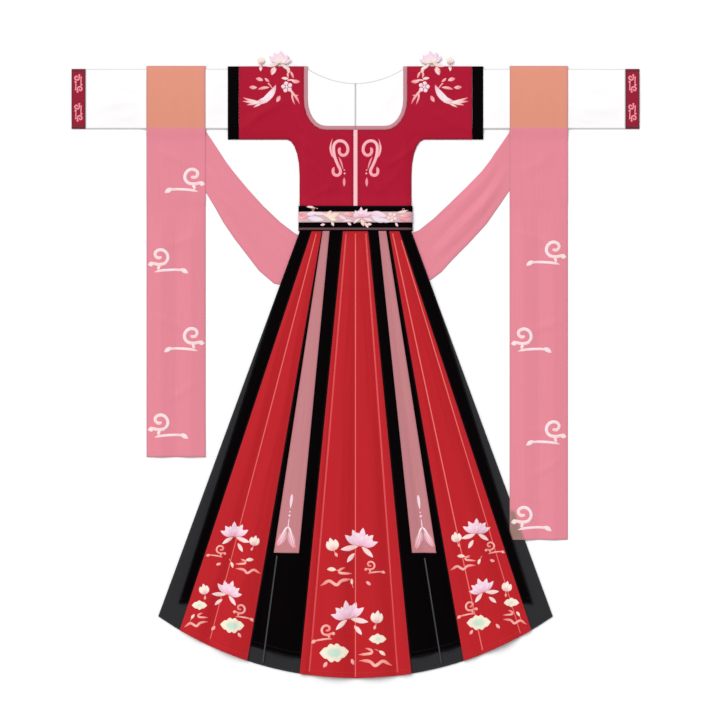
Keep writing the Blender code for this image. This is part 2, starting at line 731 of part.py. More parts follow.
def swag_points(sections):
    """Sections with extra ones between them, on a smooth curve through the given ones."""
    known = np.array(sections)
    placed = []
    for i in range(len(known) - 1):
        before, after = known[max(i - 1, 0)], known[min(i + 2, len(known) - 1)]
        for step in range(SWAG_STEPS):
            t = step / SWAG_STEPS
            straight = i < 3
            slope_in = known[i + 1] - known[i] if straight else (known[i + 1] - before) / 2
            slope_out = known[i + 1] - known[i] if straight else (after - known[i]) / 2
            placed.append((2 * t ** 3 - 3 * t ** 2 + 1) * known[i] + (t ** 3 - 2 * t ** 2 + t) * slope_in
                          + (3 * t ** 2 - 2 * t ** 3) * known[i + 1] + (t ** 3 - t ** 2) * slope_out)
    return placed + [known[-1]]


def make_swag(name, sections):
    grid = []
    for inner_x, inner_y, outer_x, outer_y, ripple in swag_points(sections):
        row = []
        for i in range(SWAG_COLUMNS + 1):
            t = i / SWAG_COLUMNS
            lift = max(0.0, ripple) * wave(SWAG_RIPPLES, t) * math.sin(math.pi * t)
            row.append((inner_x + (outer_x - inner_x) * t, inner_y + (outer_y - inner_y) * t, lift))
        grid.append(row)
    sheet(name, grid, "scarf_pink")


# Rows of a tail: Y, height of its underside at a sleeve without crown, share of the ripple
TAIL_ROWS_ON_SLEEVE = (SCARF_TOP, SHIRT_TOP) + SLEEVE_ROWS[::-1] + (SHIRT_UNDERSIDE - 3.0,)
TAIL_ROWS_BELOW = ((545.0, 1.0, 0.0), (404.0, 1.0, 0.0), (384.0, 0.0, 0.2), (300.0, 0.0, 1.0))
TAIL_ROW_STEP = 83.0
TAIL_COLUMNS = 8
TAIL_RIPPLES = 2.0
TAIL_OVER_SKIRT = 4.6
TAIL_OVER_SKIRT_REACH = (8.0, 34.0)


def tail_over_skirt(x, y):
    """Extra height where a tail's corner lies on the skirt's side."""
    beyond = abs(x) - abs(line_x("side_right", y, strip=False))
    return TAIL_OVER_SKIRT * (1.0 - ramp(beyond, *TAIL_OVER_SKIRT_REACH))


def make_tail(name, edges, end_y):
    inner_x, outer_x = edges
    rows = []
    for y in TAIL_ROWS_ON_SLEEVE:
        crown = sleeve_crown(y) if SHIRT_UNDERSIDE < y < SHIRT_TOP else 0.0
        rows.append((y, LAYER * (1.0 if y == SCARF_TOP else 3.0) + crown, 0.0))
    rows += [(y, LAYER * layers, ripple) for y, layers, ripple in TAIL_ROWS_BELOW]
    steps = round((rows[-1][0] - end_y) / TAIL_ROW_STEP)
    last = rows[-1][0]
    rows += [(last + (end_y - last) * (i + 1) / steps, 0.0, 1.0) for i in range(steps)]
    grid = []
    for y, base, ripple in rows:
        row = []
        for i in range(TAIL_COLUMNS + 1):
            t = i / TAIL_COLUMNS
            x = inner_x + (outer_x - inner_x) * t
            lift = SCARF_RIPPLE * ripple * wave(TAIL_RIPPLES, t)
            row.append((x, y, base + max(lift, tail_over_skirt(x, y))))
        grid.append(row)
    sheet(name, grid, "scarf_pink")


def make_scarf():
    make_swag("scarf_swag_left", SWAG_LEFT)
    make_swag("scarf_swag_right", SWAG_RIGHT)
    low, high = SCARF_BEHIND
    box_panel("scarf_behind_waist", SCARF_BEHIND_HALF - GAP, low, high, 0.0, "scarf_pink")
    make_tail("scarf_tail_left", SCARF_LEFT, TAIL_END_LEFT)
    make_tail("scarf_tail_right", SCARF_RIGHT, TAIL_END_RIGHT)


def main():
    clear_scene()
    make_shirt()
    make_jacket()
    make_belt()
    make_front_gores()
    make_ribbons()
    make_back_layers()
    make_scarf()


main()
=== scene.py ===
"""Looks of a hanfu costume laid flat: fine cloth with creases, stitching and silk embroidery.

X runs across the costume, Y from hem to shoulder and Z up, as in the frame. Lengths are in millimetres
and become metres where a mesh is made.
"""

import math
from collections import namedtuple

import bpy
import numpy as np
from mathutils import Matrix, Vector
from mathutils.bvhtree import BVHTree
from mathutils.geometry import delaunay_2d_cdt


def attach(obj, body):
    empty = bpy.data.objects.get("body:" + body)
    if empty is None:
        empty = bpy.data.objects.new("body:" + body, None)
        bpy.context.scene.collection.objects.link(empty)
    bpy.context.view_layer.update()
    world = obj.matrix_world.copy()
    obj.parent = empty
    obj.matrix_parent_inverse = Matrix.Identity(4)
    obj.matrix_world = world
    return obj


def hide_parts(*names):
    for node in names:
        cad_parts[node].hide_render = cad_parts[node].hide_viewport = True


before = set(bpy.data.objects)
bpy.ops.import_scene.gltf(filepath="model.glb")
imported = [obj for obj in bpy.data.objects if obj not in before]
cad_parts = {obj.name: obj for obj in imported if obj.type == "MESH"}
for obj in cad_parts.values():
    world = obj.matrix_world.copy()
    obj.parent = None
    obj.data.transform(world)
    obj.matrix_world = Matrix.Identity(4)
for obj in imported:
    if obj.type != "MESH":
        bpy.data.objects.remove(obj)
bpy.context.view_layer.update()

MM = 0.001
HIGH = 200  # above everything, where downward rays start
FACING = 0.25  # least upward share of a face's normal on the upper side of a cloth
TINY = 1e-12

# View of the photograph: straight down, with its middle at this place of the plan
VIEW_MIDDLE = (11.75, 27)
VIEW_WIDTH = 1694
CAMERA_HEIGHT = 6000
SENSOR = 36
VIEW_REACH = 50  # metres

# Edges of the cloth
EDGE_COLUMNS = (0, 0.9, 2.4, 4.5)  # distances from an edge where a fine grid has columns
EDGE_DROP = 0.5  # share of the thickness that an edge loses
EDGE_ROLL = 1.3

BELT_BOTTOM = 331  # as in the frame
SIDES = ("left", "right")
MIRRORED = ((-1, "left"), (1, "right"))

COLOURS = {
    "white": (252, 250, 251),
    "crimson": (172, 15, 47),
    "red": (186, 29, 37),
    "black": (5, 2, 4),
    "charcoal": (44, 44, 47),
    "dusty_pink": (192, 126, 131),
    "trim_pink": (196, 138, 146),
    "pale_pink": (255, 194, 200),
    "cuff_red": (150, 26, 50),
    "band_pink": (216, 178, 184),
    "scarf_pink": (232, 138, 154),
    "scarf_on_sleeve": (228, 150, 126),
    "scarf_on_skirt": (158, 124, 114),
    "petal_tip": (255, 232, 238),
    "petal_middle": (248, 205, 228),
    "petal_base": (240, 168, 186),
    "cream": (255, 240, 218),
    "mint": (196, 234, 212),
    "leaf_pink": (255, 206, 196),
    "scroll_pink": (240, 126, 120),
    "scroll_light": (255, 190, 178),
    "cloud": (255, 216, 212),
    "chest_pink": (252, 160, 172),
    "rose": (248, 132, 150),
    "lavender": (234, 224, 242),
    "pleat_pink": (238, 104, 98),
    "pleat_red": (222, 66, 70),
    "pleat_grey": (50, 54, 54),
    "wine": (96, 22, 40),
    "ribbon_light": (222, 170, 178),
    "edge_pink": (176, 72, 86),
    "piping": (104, 70, 76),
    "thread_black": (34, 30, 34),
    "thread_charcoal": (70, 70, 72),
    "thread_crimson": (140, 20, 44),
    "thread_grey": (200, 200, 205),
    "thread_pink": (178, 118, 126),
}


def linear(colour):
    share = np.array(COLOURS[colour]) / 255
    return np.where(share <= 0.04045, share / 12.92, ((share + 0.055) / 1.055) ** 2.4)


def ramp(value, start, end):
    """0 at start, 1 at end, smooth between them and level outside."""
    share = np.clip((np.asarray(value, float) - start) / (end - start), 0, 1)
    return share * share * (3 - 2 * share)


def unit(ways):
    return ways / np.linalg.norm(ways, axis=1)[:, None]


def leftward(ways):
    """Directions in the plan, turned a quarter to the left."""
    return np.column_stack([-ways[:, 1], ways[:, 0]])


def crossed(points, faces):
    """For each face, the cross product of two sides: twice its area long."""
    a, b, c = (points[faces[:, i]] for i in range(3))
    return np.cross(b - a, c - a)


def add_object(name, data):
    made = bpy.data.objects.new(name, data)
    bpy.context.scene.collection.objects.link(made)
    return made


# Reading the frame


class Wall:
    """A node's cloth: its corners, upper faces and the heights of its two sides."""

    def __init__(self, name):
        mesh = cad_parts[name].data
        loose = np.array([v.co for v in mesh.vertices]) / MM
        self.points, place = np.unique(loose, axis=0, return_inverse=True)
        place = place.reshape(-1)
        mesh.calc_loop_triangles()
        faces = place[np.array([t.vertices[:] for t in mesh.loop_triangles])]
        normal = crossed(self.points, faces)
        rise = normal[:, 2] / np.maximum(np.linalg.norm(normal, axis=1), TINY)
        self.faces = faces
        self.upper = faces[rise > FACING]
        self.lower = faces[rise < -FACING]
        self.low_corner, self.high_corner = self.points.min(0), self.points.max(0)

    def outline(self):
        """Plan of the upper side's edge, counter-clockwise."""
        following = dict(open_edges(self.upper))
        start = min(following)
        loop = [start]
        while following[loop[-1]] != start:
            loop.append(following[loop[-1]])
        return self.points[loop][:, :2]


def open_edges(faces):
    """Edges, as ordered pairs of points, that only one face has."""
    ends = np.concatenate([faces[:, [i, (i + 1) % faces.shape[1]]] for i in range(faces.shape[1])])
    size = ends.max() + 1
    code = ends[:, 0] * size + ends[:, 1]
    other = ends[:, 1] * size + ends[:, 0]
    return [tuple(e) for e in ends[~np.isin(code, other)].tolist()]


class Surface:
    """Height of a triangle mesh over the plan, found by rays from above or below."""

    def __init__(self, points, faces, down=True):
        self.tree = BVHTree.FromPolygons(points.tolist(), faces.tolist())
        self.start = HIGH if down else -HIGH
        self.way = Vector((0, 0, -1 if down else 1))
        self.middle = float(points[faces.reshape(-1), 2].mean())

    def hit(self, x, y):
        return self.tree.ray_cast(Vector((x, y, self.start)), self.way)[0]

    def height(self, x, y):
        hit = self.hit(x, y)
        if hit is None:
            hit = self.tree.find_nearest(Vector((x, y, self.middle)))[0]
        return hit.z

    def heights(self, plan):
        flat = plan.reshape(-1, 2)
        return np.array([self.height(x, y) for x, y in flat.tolist()]).reshape(plan.shape[:-1])


# Making meshes


def wall_faces(plan, faces):
    """Faces of a closed wall over a plan, whose points are the lower side's and then the upper side's."""
    count = len(plan)
    corner = plan[faces[0]]
    if np.cross(corner[1] - corner[0], corner[2] - corner[1]) < 0:
        faces = faces[:, ::-1]
    sides = [(a, b, b + count, a + count) for a, b in open_edges(faces)]
    return (faces + count).tolist() + faces[:, ::-1].tolist() + sides


def triangles_of(faces):
    return faces if faces.shape[1] == 3 else np.concatenate([faces[:, [0, 1, 2]], faces[:, [0, 2, 3]]])


def add_mesh(name, points, faces, material, sharp=50, **attributes):
    """An object with point attributes, a vector or a colour for each point."""
    mesh = bpy.data.meshes.new(name)
    mesh.from_pydata((points * MM).tolist(), [], faces)
    mesh.shade_smooth()
    mesh.set_sharp_from_angle(angle=math.radians(sharp))
    for key, values in attributes.items():
        kind = "color" if key == "tint" else "vector"
        if key == "tint":
            values = np.column_stack([values, np.ones(len(values))])
        layer = mesh.attributes.new(key, "FLOAT_" + kind.upper(), "POINT")
        layer.data.foreach_set(kind, values.astype(np.float32).ravel())
    mesh.materials.append(material)
    piece = add_object(name, mesh)
    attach(piece, "root")
    return piece


def grid_faces(rows, columns):
    at = np.arange(rows * columns).reshape(rows, columns)
    return np.stack([at[:-1, :-1], at[1:, :-1], at[1:, 1:], at[:-1, 1:]], axis=-1).reshape(-1, 4)


# Creases: each is a soft ridge along a line, with its half width and height


SAG = 0.06  # how far a crease bows to one side, as a share of its length
BLUNT = 0.8  # power of a crease's rise from its ends, lower where it rises sooner


def ridges(table, x, y):
    total = np.zeros_like(x)
    for x0, y0, x1, y1, half, height in table:
        dx, dy = x1 - x0, y1 - y0
        length = math.hypot(dx, dy)
        along = np.clip(((x - x0) * dx + (y - y0) * dy) / length ** 2, 0, 1)
        off = ((x - x0) * dy - (y - y0) * dx) / length + SAG * length * np.sin(math.pi * along)
        total += height * np.sin(math.pi * along) ** BLUNT * np.exp(-(off / half) ** 2)
    return total


SHIFT = 12  # most that a mirrored crease is moved


def both_sides(rows):
    """Creases of the left side, and the same on the right, moved a little so that no two match."""
    for i, (x0, y0, x1, y1, half, height) in enumerate(rows):
        shift = SHIFT * math.sin(2.3 * i + 1)
        yield x0, y0, x1, y1, half, height
        yield -x0, y0 + shift, -x1, y1 - shift, half * (1 + shift / 60), height * (0.95 - shift / 80)


# Rows: X and Y of both ends, half width and height
CREASES = {
    "chest": tuple(both_sides((
        (-278, 560, -150, 640, 9, 2.2),
        (-262, 690, -140, 655, 12, 1.6),
        (-160, 560, -60, 470, 8, 1.9),
        (-128, 500, -40, 425, 7, 1.4),
        (-118, 400, -30, 440, 6, 1.1),
        (-70, 392, -52, 460, 5, 1.2),
    ))),
    "shirt": ((-100, 700, -30, 600, 10, 1), (96, 690, 40, 596, 11, 1.1), (-60, 672, -12, 640, 7, 0.6)),
    "sleeve": tuple(both_sides((
        (-628, 612, -500, 634, 9, 1.6),
        (-600, 676, -512, 660, 8, 1.3),
        (-560, 594, -510, 604, 7, 1),
        (-346, 640, -303, 604, 8, 1.3),
        (-340, 690, -306, 668, 6, 0.9),
    ))),
    "tail": tuple(both_sides((
        (-480, 520, -370, 470, 9, 1.3),
        (-366, 330, -470, 290, 8, 1.2),
        (-484, 130, -390, 90, 9, 1.4),
        (-368, -20, -450, -66, 8, 1.1),
        (-470, -120, -400, -146, 7, 0.9),
    ))) + ((486, -200, 400, -246, 8, 1.2), (380, -290, 440, -310, 7, 0.9)),
    "swag": tuple(both_sides((
        (-380, 500, -250, 350, 9, 1.5),
        (-330, 420, -180, 270, 7, 1.2),
        (-300, 470, -200, 366, 6, 1),
    ))),
}

# Long soft folds of the skirt: X at the belt, spread outwards for each millimetre down, where the fold
# starts and ends below the belt, half width and height
SKIRT_CREASES = (
    (-112, -0.345, 240, 940, 9, 1.5),
    (-98, -0.298, 60, 700, 8, 1.5),
    (-95, -0.288, 640, 1030, 10, 1.8),
    (-84, -0.214, 160, 620, 7, 1.3),
    (-84, -0.224, 560, 1040, 11, 2),
    (-44, -0.112, 200, 1000, 8, 1.2),
    (-12, -0.052, 80, 560, 7, 1.5),
    (-10, -0.036, 430, 1040, 11, 2.2),
    (10, 0.024, 50, 480, 7, 1.2),
    (12, 0.046, 380, 1045, 12, 1.9),
    (42, 0.11, 260, 980, 7, 1.1),
    (82, 0.196, 220, 820, 6, 1.1),
    (92, 0.246, 90, 600, 8, 1.5),
    (94, 0.262, 520, 1040, 12, 2),
    (112, 0.348, 300, 950, 8, 1.4),
)


FOLD_BLUNT = 0.7
FOLD_BOW = 4
FOLD_WAVES = 2.2
FOLD_GROWTH = 900  # millimetres down in which a fold grows wider by its half width


def skirt_creases(x, y):
    down = BELT_BOTTOM - y
    total = np.zeros_like(x)
    for start, spread, first, last, half, height in SKIRT_CREASES:
        along = np.clip((down - first) / (last - first), 0, 1)
        bow = FOLD_BOW * np.sin(FOLD_WAVES * math.pi * along + start)
        off = (x - start - spread * down - bow) / (half * (0.5 + down / FOLD_GROWTH))
        total += height * np.sin(math.pi * along) ** FOLD_BLUNT * np.exp(-off ** 2)
    return total


# Y where creases start and where they are full, Y where a sleeve's fade again, and how far out a swag's do
FREE_FROM = {"chest": (386, 404), "shirt": (586, 606), "sleeve": (571, 590)}
SLEEVE_FADE = (694, 712)
SWAG_FADE = (335, 360)
SCARF_SIDES = ((346, 354), (497, 505))  # on a sleeve, outwards


def creases(kind, x, y):
    """Heights of a kind of cloth's creases, which fade where it is sewn or held down."""
    if kind == "skirt":
        return skirt_creases(x, y)
    if kind not in CREASES:
        return np.zeros_like(x)
    out = np.abs(x)
    free = ramp(y, *FREE_FROM[kind]) if kind in FREE_FROM else 1
    if kind == "sleeve":
        under_scarf = ramp(out, *SCARF_SIDES[0]) * (1 - ramp(out, *SCARF_SIDES[1]))
        free = (1 - under_scarf) * free * (1 - ramp(y, *SLEEVE_FADE))
    elif kind == "swag":
        free = 1 - ramp(out, *SWAG_FADE)
    return ridges(CREASES[kind], x, y) * free


# Four-sided cloths: a fine grid between the four sides of a node's plan


def four_sides(loop):
    """The four sides of an outline: top and bottom from left to right, left and right from the top."""
    before, after = loop - np.roll(loop, 1, axis=0), np.roll(loop, -1, axis=0) - loop
    turn = np.abs(np.arctan2(np.cross(before, after), (before * after).sum(1)))
    corners = sorted(np.argsort(turn)[-4:].tolist())
    highest = sorted(corners, key=lambda i: -loop[i][1])[:2]
    first = corners.index(min(highest, key=lambda i: loop[i][0]))
    order = corners[first:] + corners[:first]
    sides = []
    for start, end in zip(order, order[1:] + order[:1]):
        stop = end if end > start else end + len(loop)
        sides.append(loop[np.arange(start, stop + 1) % len(loop)])
    left, bottom, right, top = sides
    return top[::-1], bottom, left, right[::-1]


def length_of(line):
    return float(np.linalg.norm(np.diff(line, axis=0), axis=1).sum())


def distances(line):
    """How far along a line each of its points is."""
    return np.concatenate([[0], np.cumsum(np.linalg.norm(np.diff(line, axis=0), axis=1))])


def along_line(line, share):
    """Points at shares of a line's length."""
    reached = distances(line) / length_of(line)
    return np.stack([np.interp(share, reached, line[:, i]) for i in range(line.shape[1])], axis=-1)


def spaced(length, step):
    """Distances along a length, close together at both ends."""
    edge = [d for d in EDGE_COLUMNS if d < length * 0.2]
    inner = length - 2 * edge[-1]
    count = max(2, round(inner / step))
    middle = [edge[-1] + inner * i / count for i in range(1, count)]
    return np.array(edge + middle + [length - d for d in reversed(edge)])


def four_sided_grid(loop, across_step, along_step):
    """Plan points of a grid, with their place across and along it and their distance from its edge."""
    top, bottom, left, right = four_sides(loop)
    tall = (length_of(left) + length_of(right)) / 2
    wide = max(length_of(top), length_of(bottom))
    t = (spaced(tall, along_step) / tall)[:, None]
    width = length_of(top) + (length_of(bottom) - length_of(top)) * t
    columns = spaced(wide, across_step)
    share = columns / wide
    nearest = np.minimum(columns, wide - columns)
    fixed = nearest <= EDGE_COLUMNS[-1]
    from_edge = np.where(share < 0.5, nearest / width, 1 - nearest / width)
    s = np.where(fixed & (width > 4 * EDGE_COLUMNS[-1]), from_edge, share)
    s = np.sort(s, axis=1)
    on_left, on_right = along_line(left, t), along_line(right, t)
    on_top, on_bottom = along_line(top, s), along_line(bottom, s)
    s3, t3 = s[..., None], t[..., None]
    plan = (1 - t3) * on_top + t3 * on_bottom + (1 - s3) * on_left + s3 * on_right
    plan -= (1 - s3) * (1 - t3) * top[0] + s3 * (1 - t3) * top[-1]
    plan -= (1 - s3) * t3 * bottom[0] + s3 * t3 * bottom[-1]
    edge = np.minimum(np.minimum(s, 1 - s) * width, np.minimum(t, 1 - t) * tall + 0 * s)
    weave = np.stack([(s - 0.5) * width, t * tall + 0 * s, edge], axis=-1)
    return plan, weave, (wide, tall)


# A cloth and the one below it, where their grids cut the same folds at different places
LIFTED_BY = {}
for side in SIDES:
    LIFTED_BY["ribbon_" + side] = "skirt_front_black_inner_" + side
    LIFTED_BY["scarf_tail_" + side] = "scarf_swag_" + side
LIFT_GAP = 0.15


def lifted(low, plan, under):
    """Low heights, raised where they would sink into the cloth below."""
    below = Surface(under.top_points, triangles_of(under.top_faces))
    hits = [below.hit(x, y) for x, y in plan.tolist()]
    least = [low[i] if hit is None else hit.z + LIFT_GAP for i, hit in enumerate(hits)]
    return np.maximum(low, least)


def lay_cloth(wall, plan, weave, kind):
    """Low and top heights of a cloth over its plan, with its creases and its rolled edges."""
    thickness = wall.thickness
    low = wall.surface.heights(plan) - thickness + creases(kind, plan[..., 0], plan[..., 1])
    if wall.node in LIFTED_BY:
        low = lifted(low, plan, cloths[LIFTED_BY[wall.node]])
    drop = EDGE_DROP * np.exp(-(weave[..., 2] / EDGE_ROLL) ** 2)
    return low, low + thickness * (1 - drop)


class Cloth(Wall):
    """A wall and the fine piece that stands for it."""

    def __init__(self, node, kind):
        super().__init__(node)
        self.node, self.kind = node, kind
        self.surface = Surface(self.points, self.upper)
        centre = self.points[self.upper[0]].mean(0)
        under = Surface(self.points, self.lower, down=False)
        self.thickness = self.surface.height(*centre[:2]) - under.height(*centre[:2])

    def build(self, plan, faces, weave, material, tint=None):
        low, top = lay_cloth(self, plan, weave, self.kind)
        points = np.concatenate([np.column_stack([plan, low]), np.column_stack([plan, top])])
        walls = wall_faces(plan, faces)
        attributes = {"weave": np.tile(weave, (2, 1))}
        if tint is not None:
            attributes["tint"] = np.tile(tint, (2, 1))
        self.piece = add_mesh(self.node + "_cloth", points, walls, materials[material], **attributes)
        self.top_points, self.top_faces = np.column_stack([plan, top]), faces
        normals = crossed(self.top_points, triangles_of(faces))
        self.area = float(np.linalg.norm(normals, axis=1).sum() / 2)


cloths = {}


def keep_cloth(cloth, node, material):
    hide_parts(node)
    cloth.slot = SLOTS[material]
    cloths[node] = cloth


def make_four_sided(node, kind, material, steps=(5, 7), tint=None):
    cloth = Cloth(node, kind)
    plan, weave, flat = four_sided_grid(cloth.outline(), *steps)
    rows, columns = plan.shape[:2]
    flat_plan, flat_weave = plan.reshape(-1, 2), weave.reshape(-1, 3)
    colours = tint(flat_plan, flat_weave) if tint else None
    cloth.build(flat_plan, grid_faces(rows, columns), flat_weave, material, colours)
    cloth.flat = flat
    keep_cloth(cloth, node, material)


# Shaped cloths: a triangle mesh over a node's plan


def resampled(loop, step):
    """A closed outline with points no further apart than step, its own corners kept."""
    places = []
    for start, end in zip(loop, np.roll(loop, -1, axis=0)):
        count = max(1, math.ceil(np.linalg.norm(end - start) / step))
        places += [start + (end - start) * i / count for i in range(count)]
    return np.array(places)


def inward(loop):
    """Directions to the inside at the points of a counter-clockwise outline."""
    return unit(leftward(np.roll(loop, -1, axis=0) - np.roll(loop, 1, axis=0)))


def edge_distance(plan, loop):
    """Distance of plan points from a closed outline."""
    best = np.full(len(plan), 1e9)
    for start, end in zip(loop, np.roll(loop, -1, axis=0)):
        way = end - start
        share = np.clip(((plan - start) @ way) / max(way @ way, 1e-9), 0, 1)
        best = np.minimum(best, np.linalg.norm(plan - start - share[:, None] * way, axis=1))
    return best


ROW_SHARE = 0.87  # height of a triangle as a share of its side
LEAST_AREA = 1e-6


def make_shaped(node, kind, material, step=6):
    cloth = Cloth(node, kind)
    loop = cloth.outline()
    edge = resampled(loop, step)
    rings = np.concatenate([edge + inward(edge) * d for d in EDGE_COLUMNS[1:3]])
    low, high = loop.min(0), loop.max(0)
    rows = np.arange(low[1], high[1], step * ROW_SHARE)
    xs = np.arange(low[0], high[0], step)
    grid = np.array([(x + step / 2 * (i % 2), y) for i, y in enumerate(rows) for x in xs])
    inner = np.concatenate([rings, grid])
    clear = edge_distance(inner, loop)
    least = np.repeat([EDGE_COLUMNS[1] * 0.7, EDGE_COLUMNS[2] * 0.8, EDGE_COLUMNS[3]],
                      [len(edge), len(edge), len(grid)])
    plan = np.concatenate([edge, inner[clear > least]])
    ends = [(i, (i + 1) % len(edge)) for i in range(len(edge))]
    made = delaunay_2d_cdt([Vector(p) for p in plan.tolist()], ends, [], 1, 1e-4)  # the inside alone
    plan, faces = np.array([p[:] for p in made[0]]), np.array(made[2])
    faces = faces[np.abs(crossed(plan, faces)) > LEAST_AREA]
    used, place = np.unique(faces, return_inverse=True)
    plan, faces = plan[used], place.reshape(-1, 3)
    weave = np.column_stack([plan, edge_distance(plan, loop)])
    cloth.build(plan, faces, weave, material)
    cloth.flat = tuple(high - low)
    keep_cloth(cloth, node, material)


# Tubes pressed flat: sleeves, cuffs and sleeve bands


TUBE_WALL = 0.9
TUBE_STEP = 6
TUBE_END = 0.05  # rays for the ends' heights start this far inside


def make_tube(node, kind, material):
    """Rings round the tube from the frame's heights: along the back, round the fold, along the front."""
    cloth = Wall(node)
    low, high = cloth.low_corner, cloth.high_corner
    wide, tall = (high - low)[:2]
    xs = low[0] + np.clip(spaced(wide, TUBE_STEP), TUBE_END, wide - TUBE_END)
    ys = low[1] + spaced(tall, TUBE_STEP)[1:-1]
    x, y = np.meshgrid(xs, ys, indexing="ij")
    plan = np.stack([x, y], axis=-1)
    back = Surface(cloth.points, cloth.faces, down=False).heights(plan)
    front = Surface(cloth.points, cloth.faces).heights(plan) + creases(kind, x, y)
    turns = np.linspace(0, math.pi, 7)[1:-1]
    skins = []
    for depth in (0, TUBE_WALL):
        across, up = [], []
        reach = EDGE_COLUMNS[1] - min(depth, EDGE_COLUMNS[1] * 0.8)
        for edge, side, strip in ((-1, 1, back + depth), (0, -1, front - depth)):
            half = (front[:, [edge]] - back[:, [edge]]) / 2 - depth
            middle = (front[:, [edge]] + back[:, [edge]]) / 2
            across += [y[:, ::side], y[:, [edge]] + side * reach * np.sin(turns)]
            up += [strip[:, ::side], middle - side * half * np.cos(turns)]
        across, up = np.concatenate(across, axis=1), np.concatenate(up, axis=1)
        skins.append(np.stack([np.broadcast_to(xs[:, None], up.shape), across, up], axis=-1))
    count = skins[0][..., 0].size
    at = np.arange(count).reshape(len(xs), -1)
    ahead = np.roll(at, -1, axis=1)
    outer = np.stack([at[:-1], at[1:], ahead[1:], ahead[:-1]], axis=-1).reshape(-1, 4)
    ends = [np.stack([at[0], ahead[0], ahead[0] + count, at[0] + count], axis=-1),
            np.stack([ahead[-1], at[-1], at[-1] + count, ahead[-1] + count], axis=-1)]
    faces = np.concatenate([outer, outer[:, ::-1] + count] + ends)
    points = np.concatenate([skin.reshape(-1, 3) for skin in skins])
    # Distance from the nearest end or fold of the tube: the material paints shade along these, so the
    # pressed folds show dark lines too
    from_ends = np.minimum(points[:, :2] - low[:2], high[:2] - points[:, :2]).min(1)
    weave = np.column_stack([points[:, :2], from_ends])
    walls = outward(points, faces).tolist()
    cloth.piece = add_mesh(node + "_cloth", points, walls, materials[material], weave=weave)
    cloth.top_points = np.stack([x, y, front], axis=-1).reshape(-1, 3)
    cloth.top_faces = grid_faces(*x.shape)
    cloth.flat = (2 * tall, wide)
    cloth.area = 2 * tall * wide
    keep_cloth(cloth, node, material)


def outward(points, faces):
    """Faces turned so that the closed mesh has a positive volume."""
    a, b, c, d = (points[faces[:, i]] for i in range(4))
    volume = (a * (np.cross(b, c) + np.cross(c, d))).sum()
    return faces[:, ::-1] if volume < 0 else faces


# Materials


class Shade:
    """A material whose nodes are added one call at a time."""

    def __init__(self, name, **sockets):
        self.material = bpy.data.materials.new(name)
        self.material.use_nodes = True
        self.tree = self.material.node_tree
        self.shader = self.tree.nodes["Principled BSDF"]
        for key, value in sockets.items():
            self.shader.inputs[key.replace("_", " ")].default_value = value

    def add(self, kind, inputs, **settings):
        made = self.tree.nodes.new("ShaderNode" + kind)
        for key, value in settings.items():
            setattr(made, key, value)
        for key, value in inputs.items():
            if isinstance(value, bpy.types.NodeSocket):
                self.tree.links.new(value, made.inputs[key])
            else:
                made.inputs[key].default_value = value
        return made

    def attribute(self, name):
        return self.add("Attribute", {}, attribute_name=name).outputs["Vector"]

    def math(self, operation, first, second=0):
        return self.add("Math", {0: first, 1: second}, operation=operation).outputs[0]

    def plus(self, first, second):
        return self.math("ADD", first, second)

    def product(self, first, second):
        return self.math("MULTIPLY", first, second)

    def sine(self, value):
        return self.math("SINE", value)

    def remap(self, value, low, high, start, end):
        inputs = {"Value": value, "From Min": low, "From Max": high, "To Min": start, "To Max": end}
        return self.add("MapRange", inputs).outputs[0]

    def noise(self, vector, scale, detail=2):
        return self.add("TexNoise", {"Vector": vector, "Scale": scale, "Detail": detail}).outputs[0]

    def stretched(self, vector, x, y):
        return self.add("VectorMath", {0: vector, 1: (x, y, 1)}, operation="MULTIPLY").outputs[0]

    def times(self, colour, share):
        """A colour made lighter or darker by a share."""
        inputs = {0: colour, "Scale": share}
        return self.add("VectorMath", inputs, operation="SCALE").outputs[0]

    def set(self, socket, value):
        self.tree.links.new(value, self.shader.inputs[socket])

    def bump(self, strength, depth, height):
        inputs = {"Strength": strength, "Distance": depth * MM, "Height": height}
        self.set("Normal", self.add("Bump", inputs).outputs[0])


WEFT_PITCH = 0.9  # turns of the weft for each turn of the warp
SATIN_SLANT = 0.12
SLUBS = (0.7, 1.3)  # range of the slubs' noise
THREAD_DEPTH = 0.1
EDGE_SHADE = 2.5  # width of the painted shade along an edge
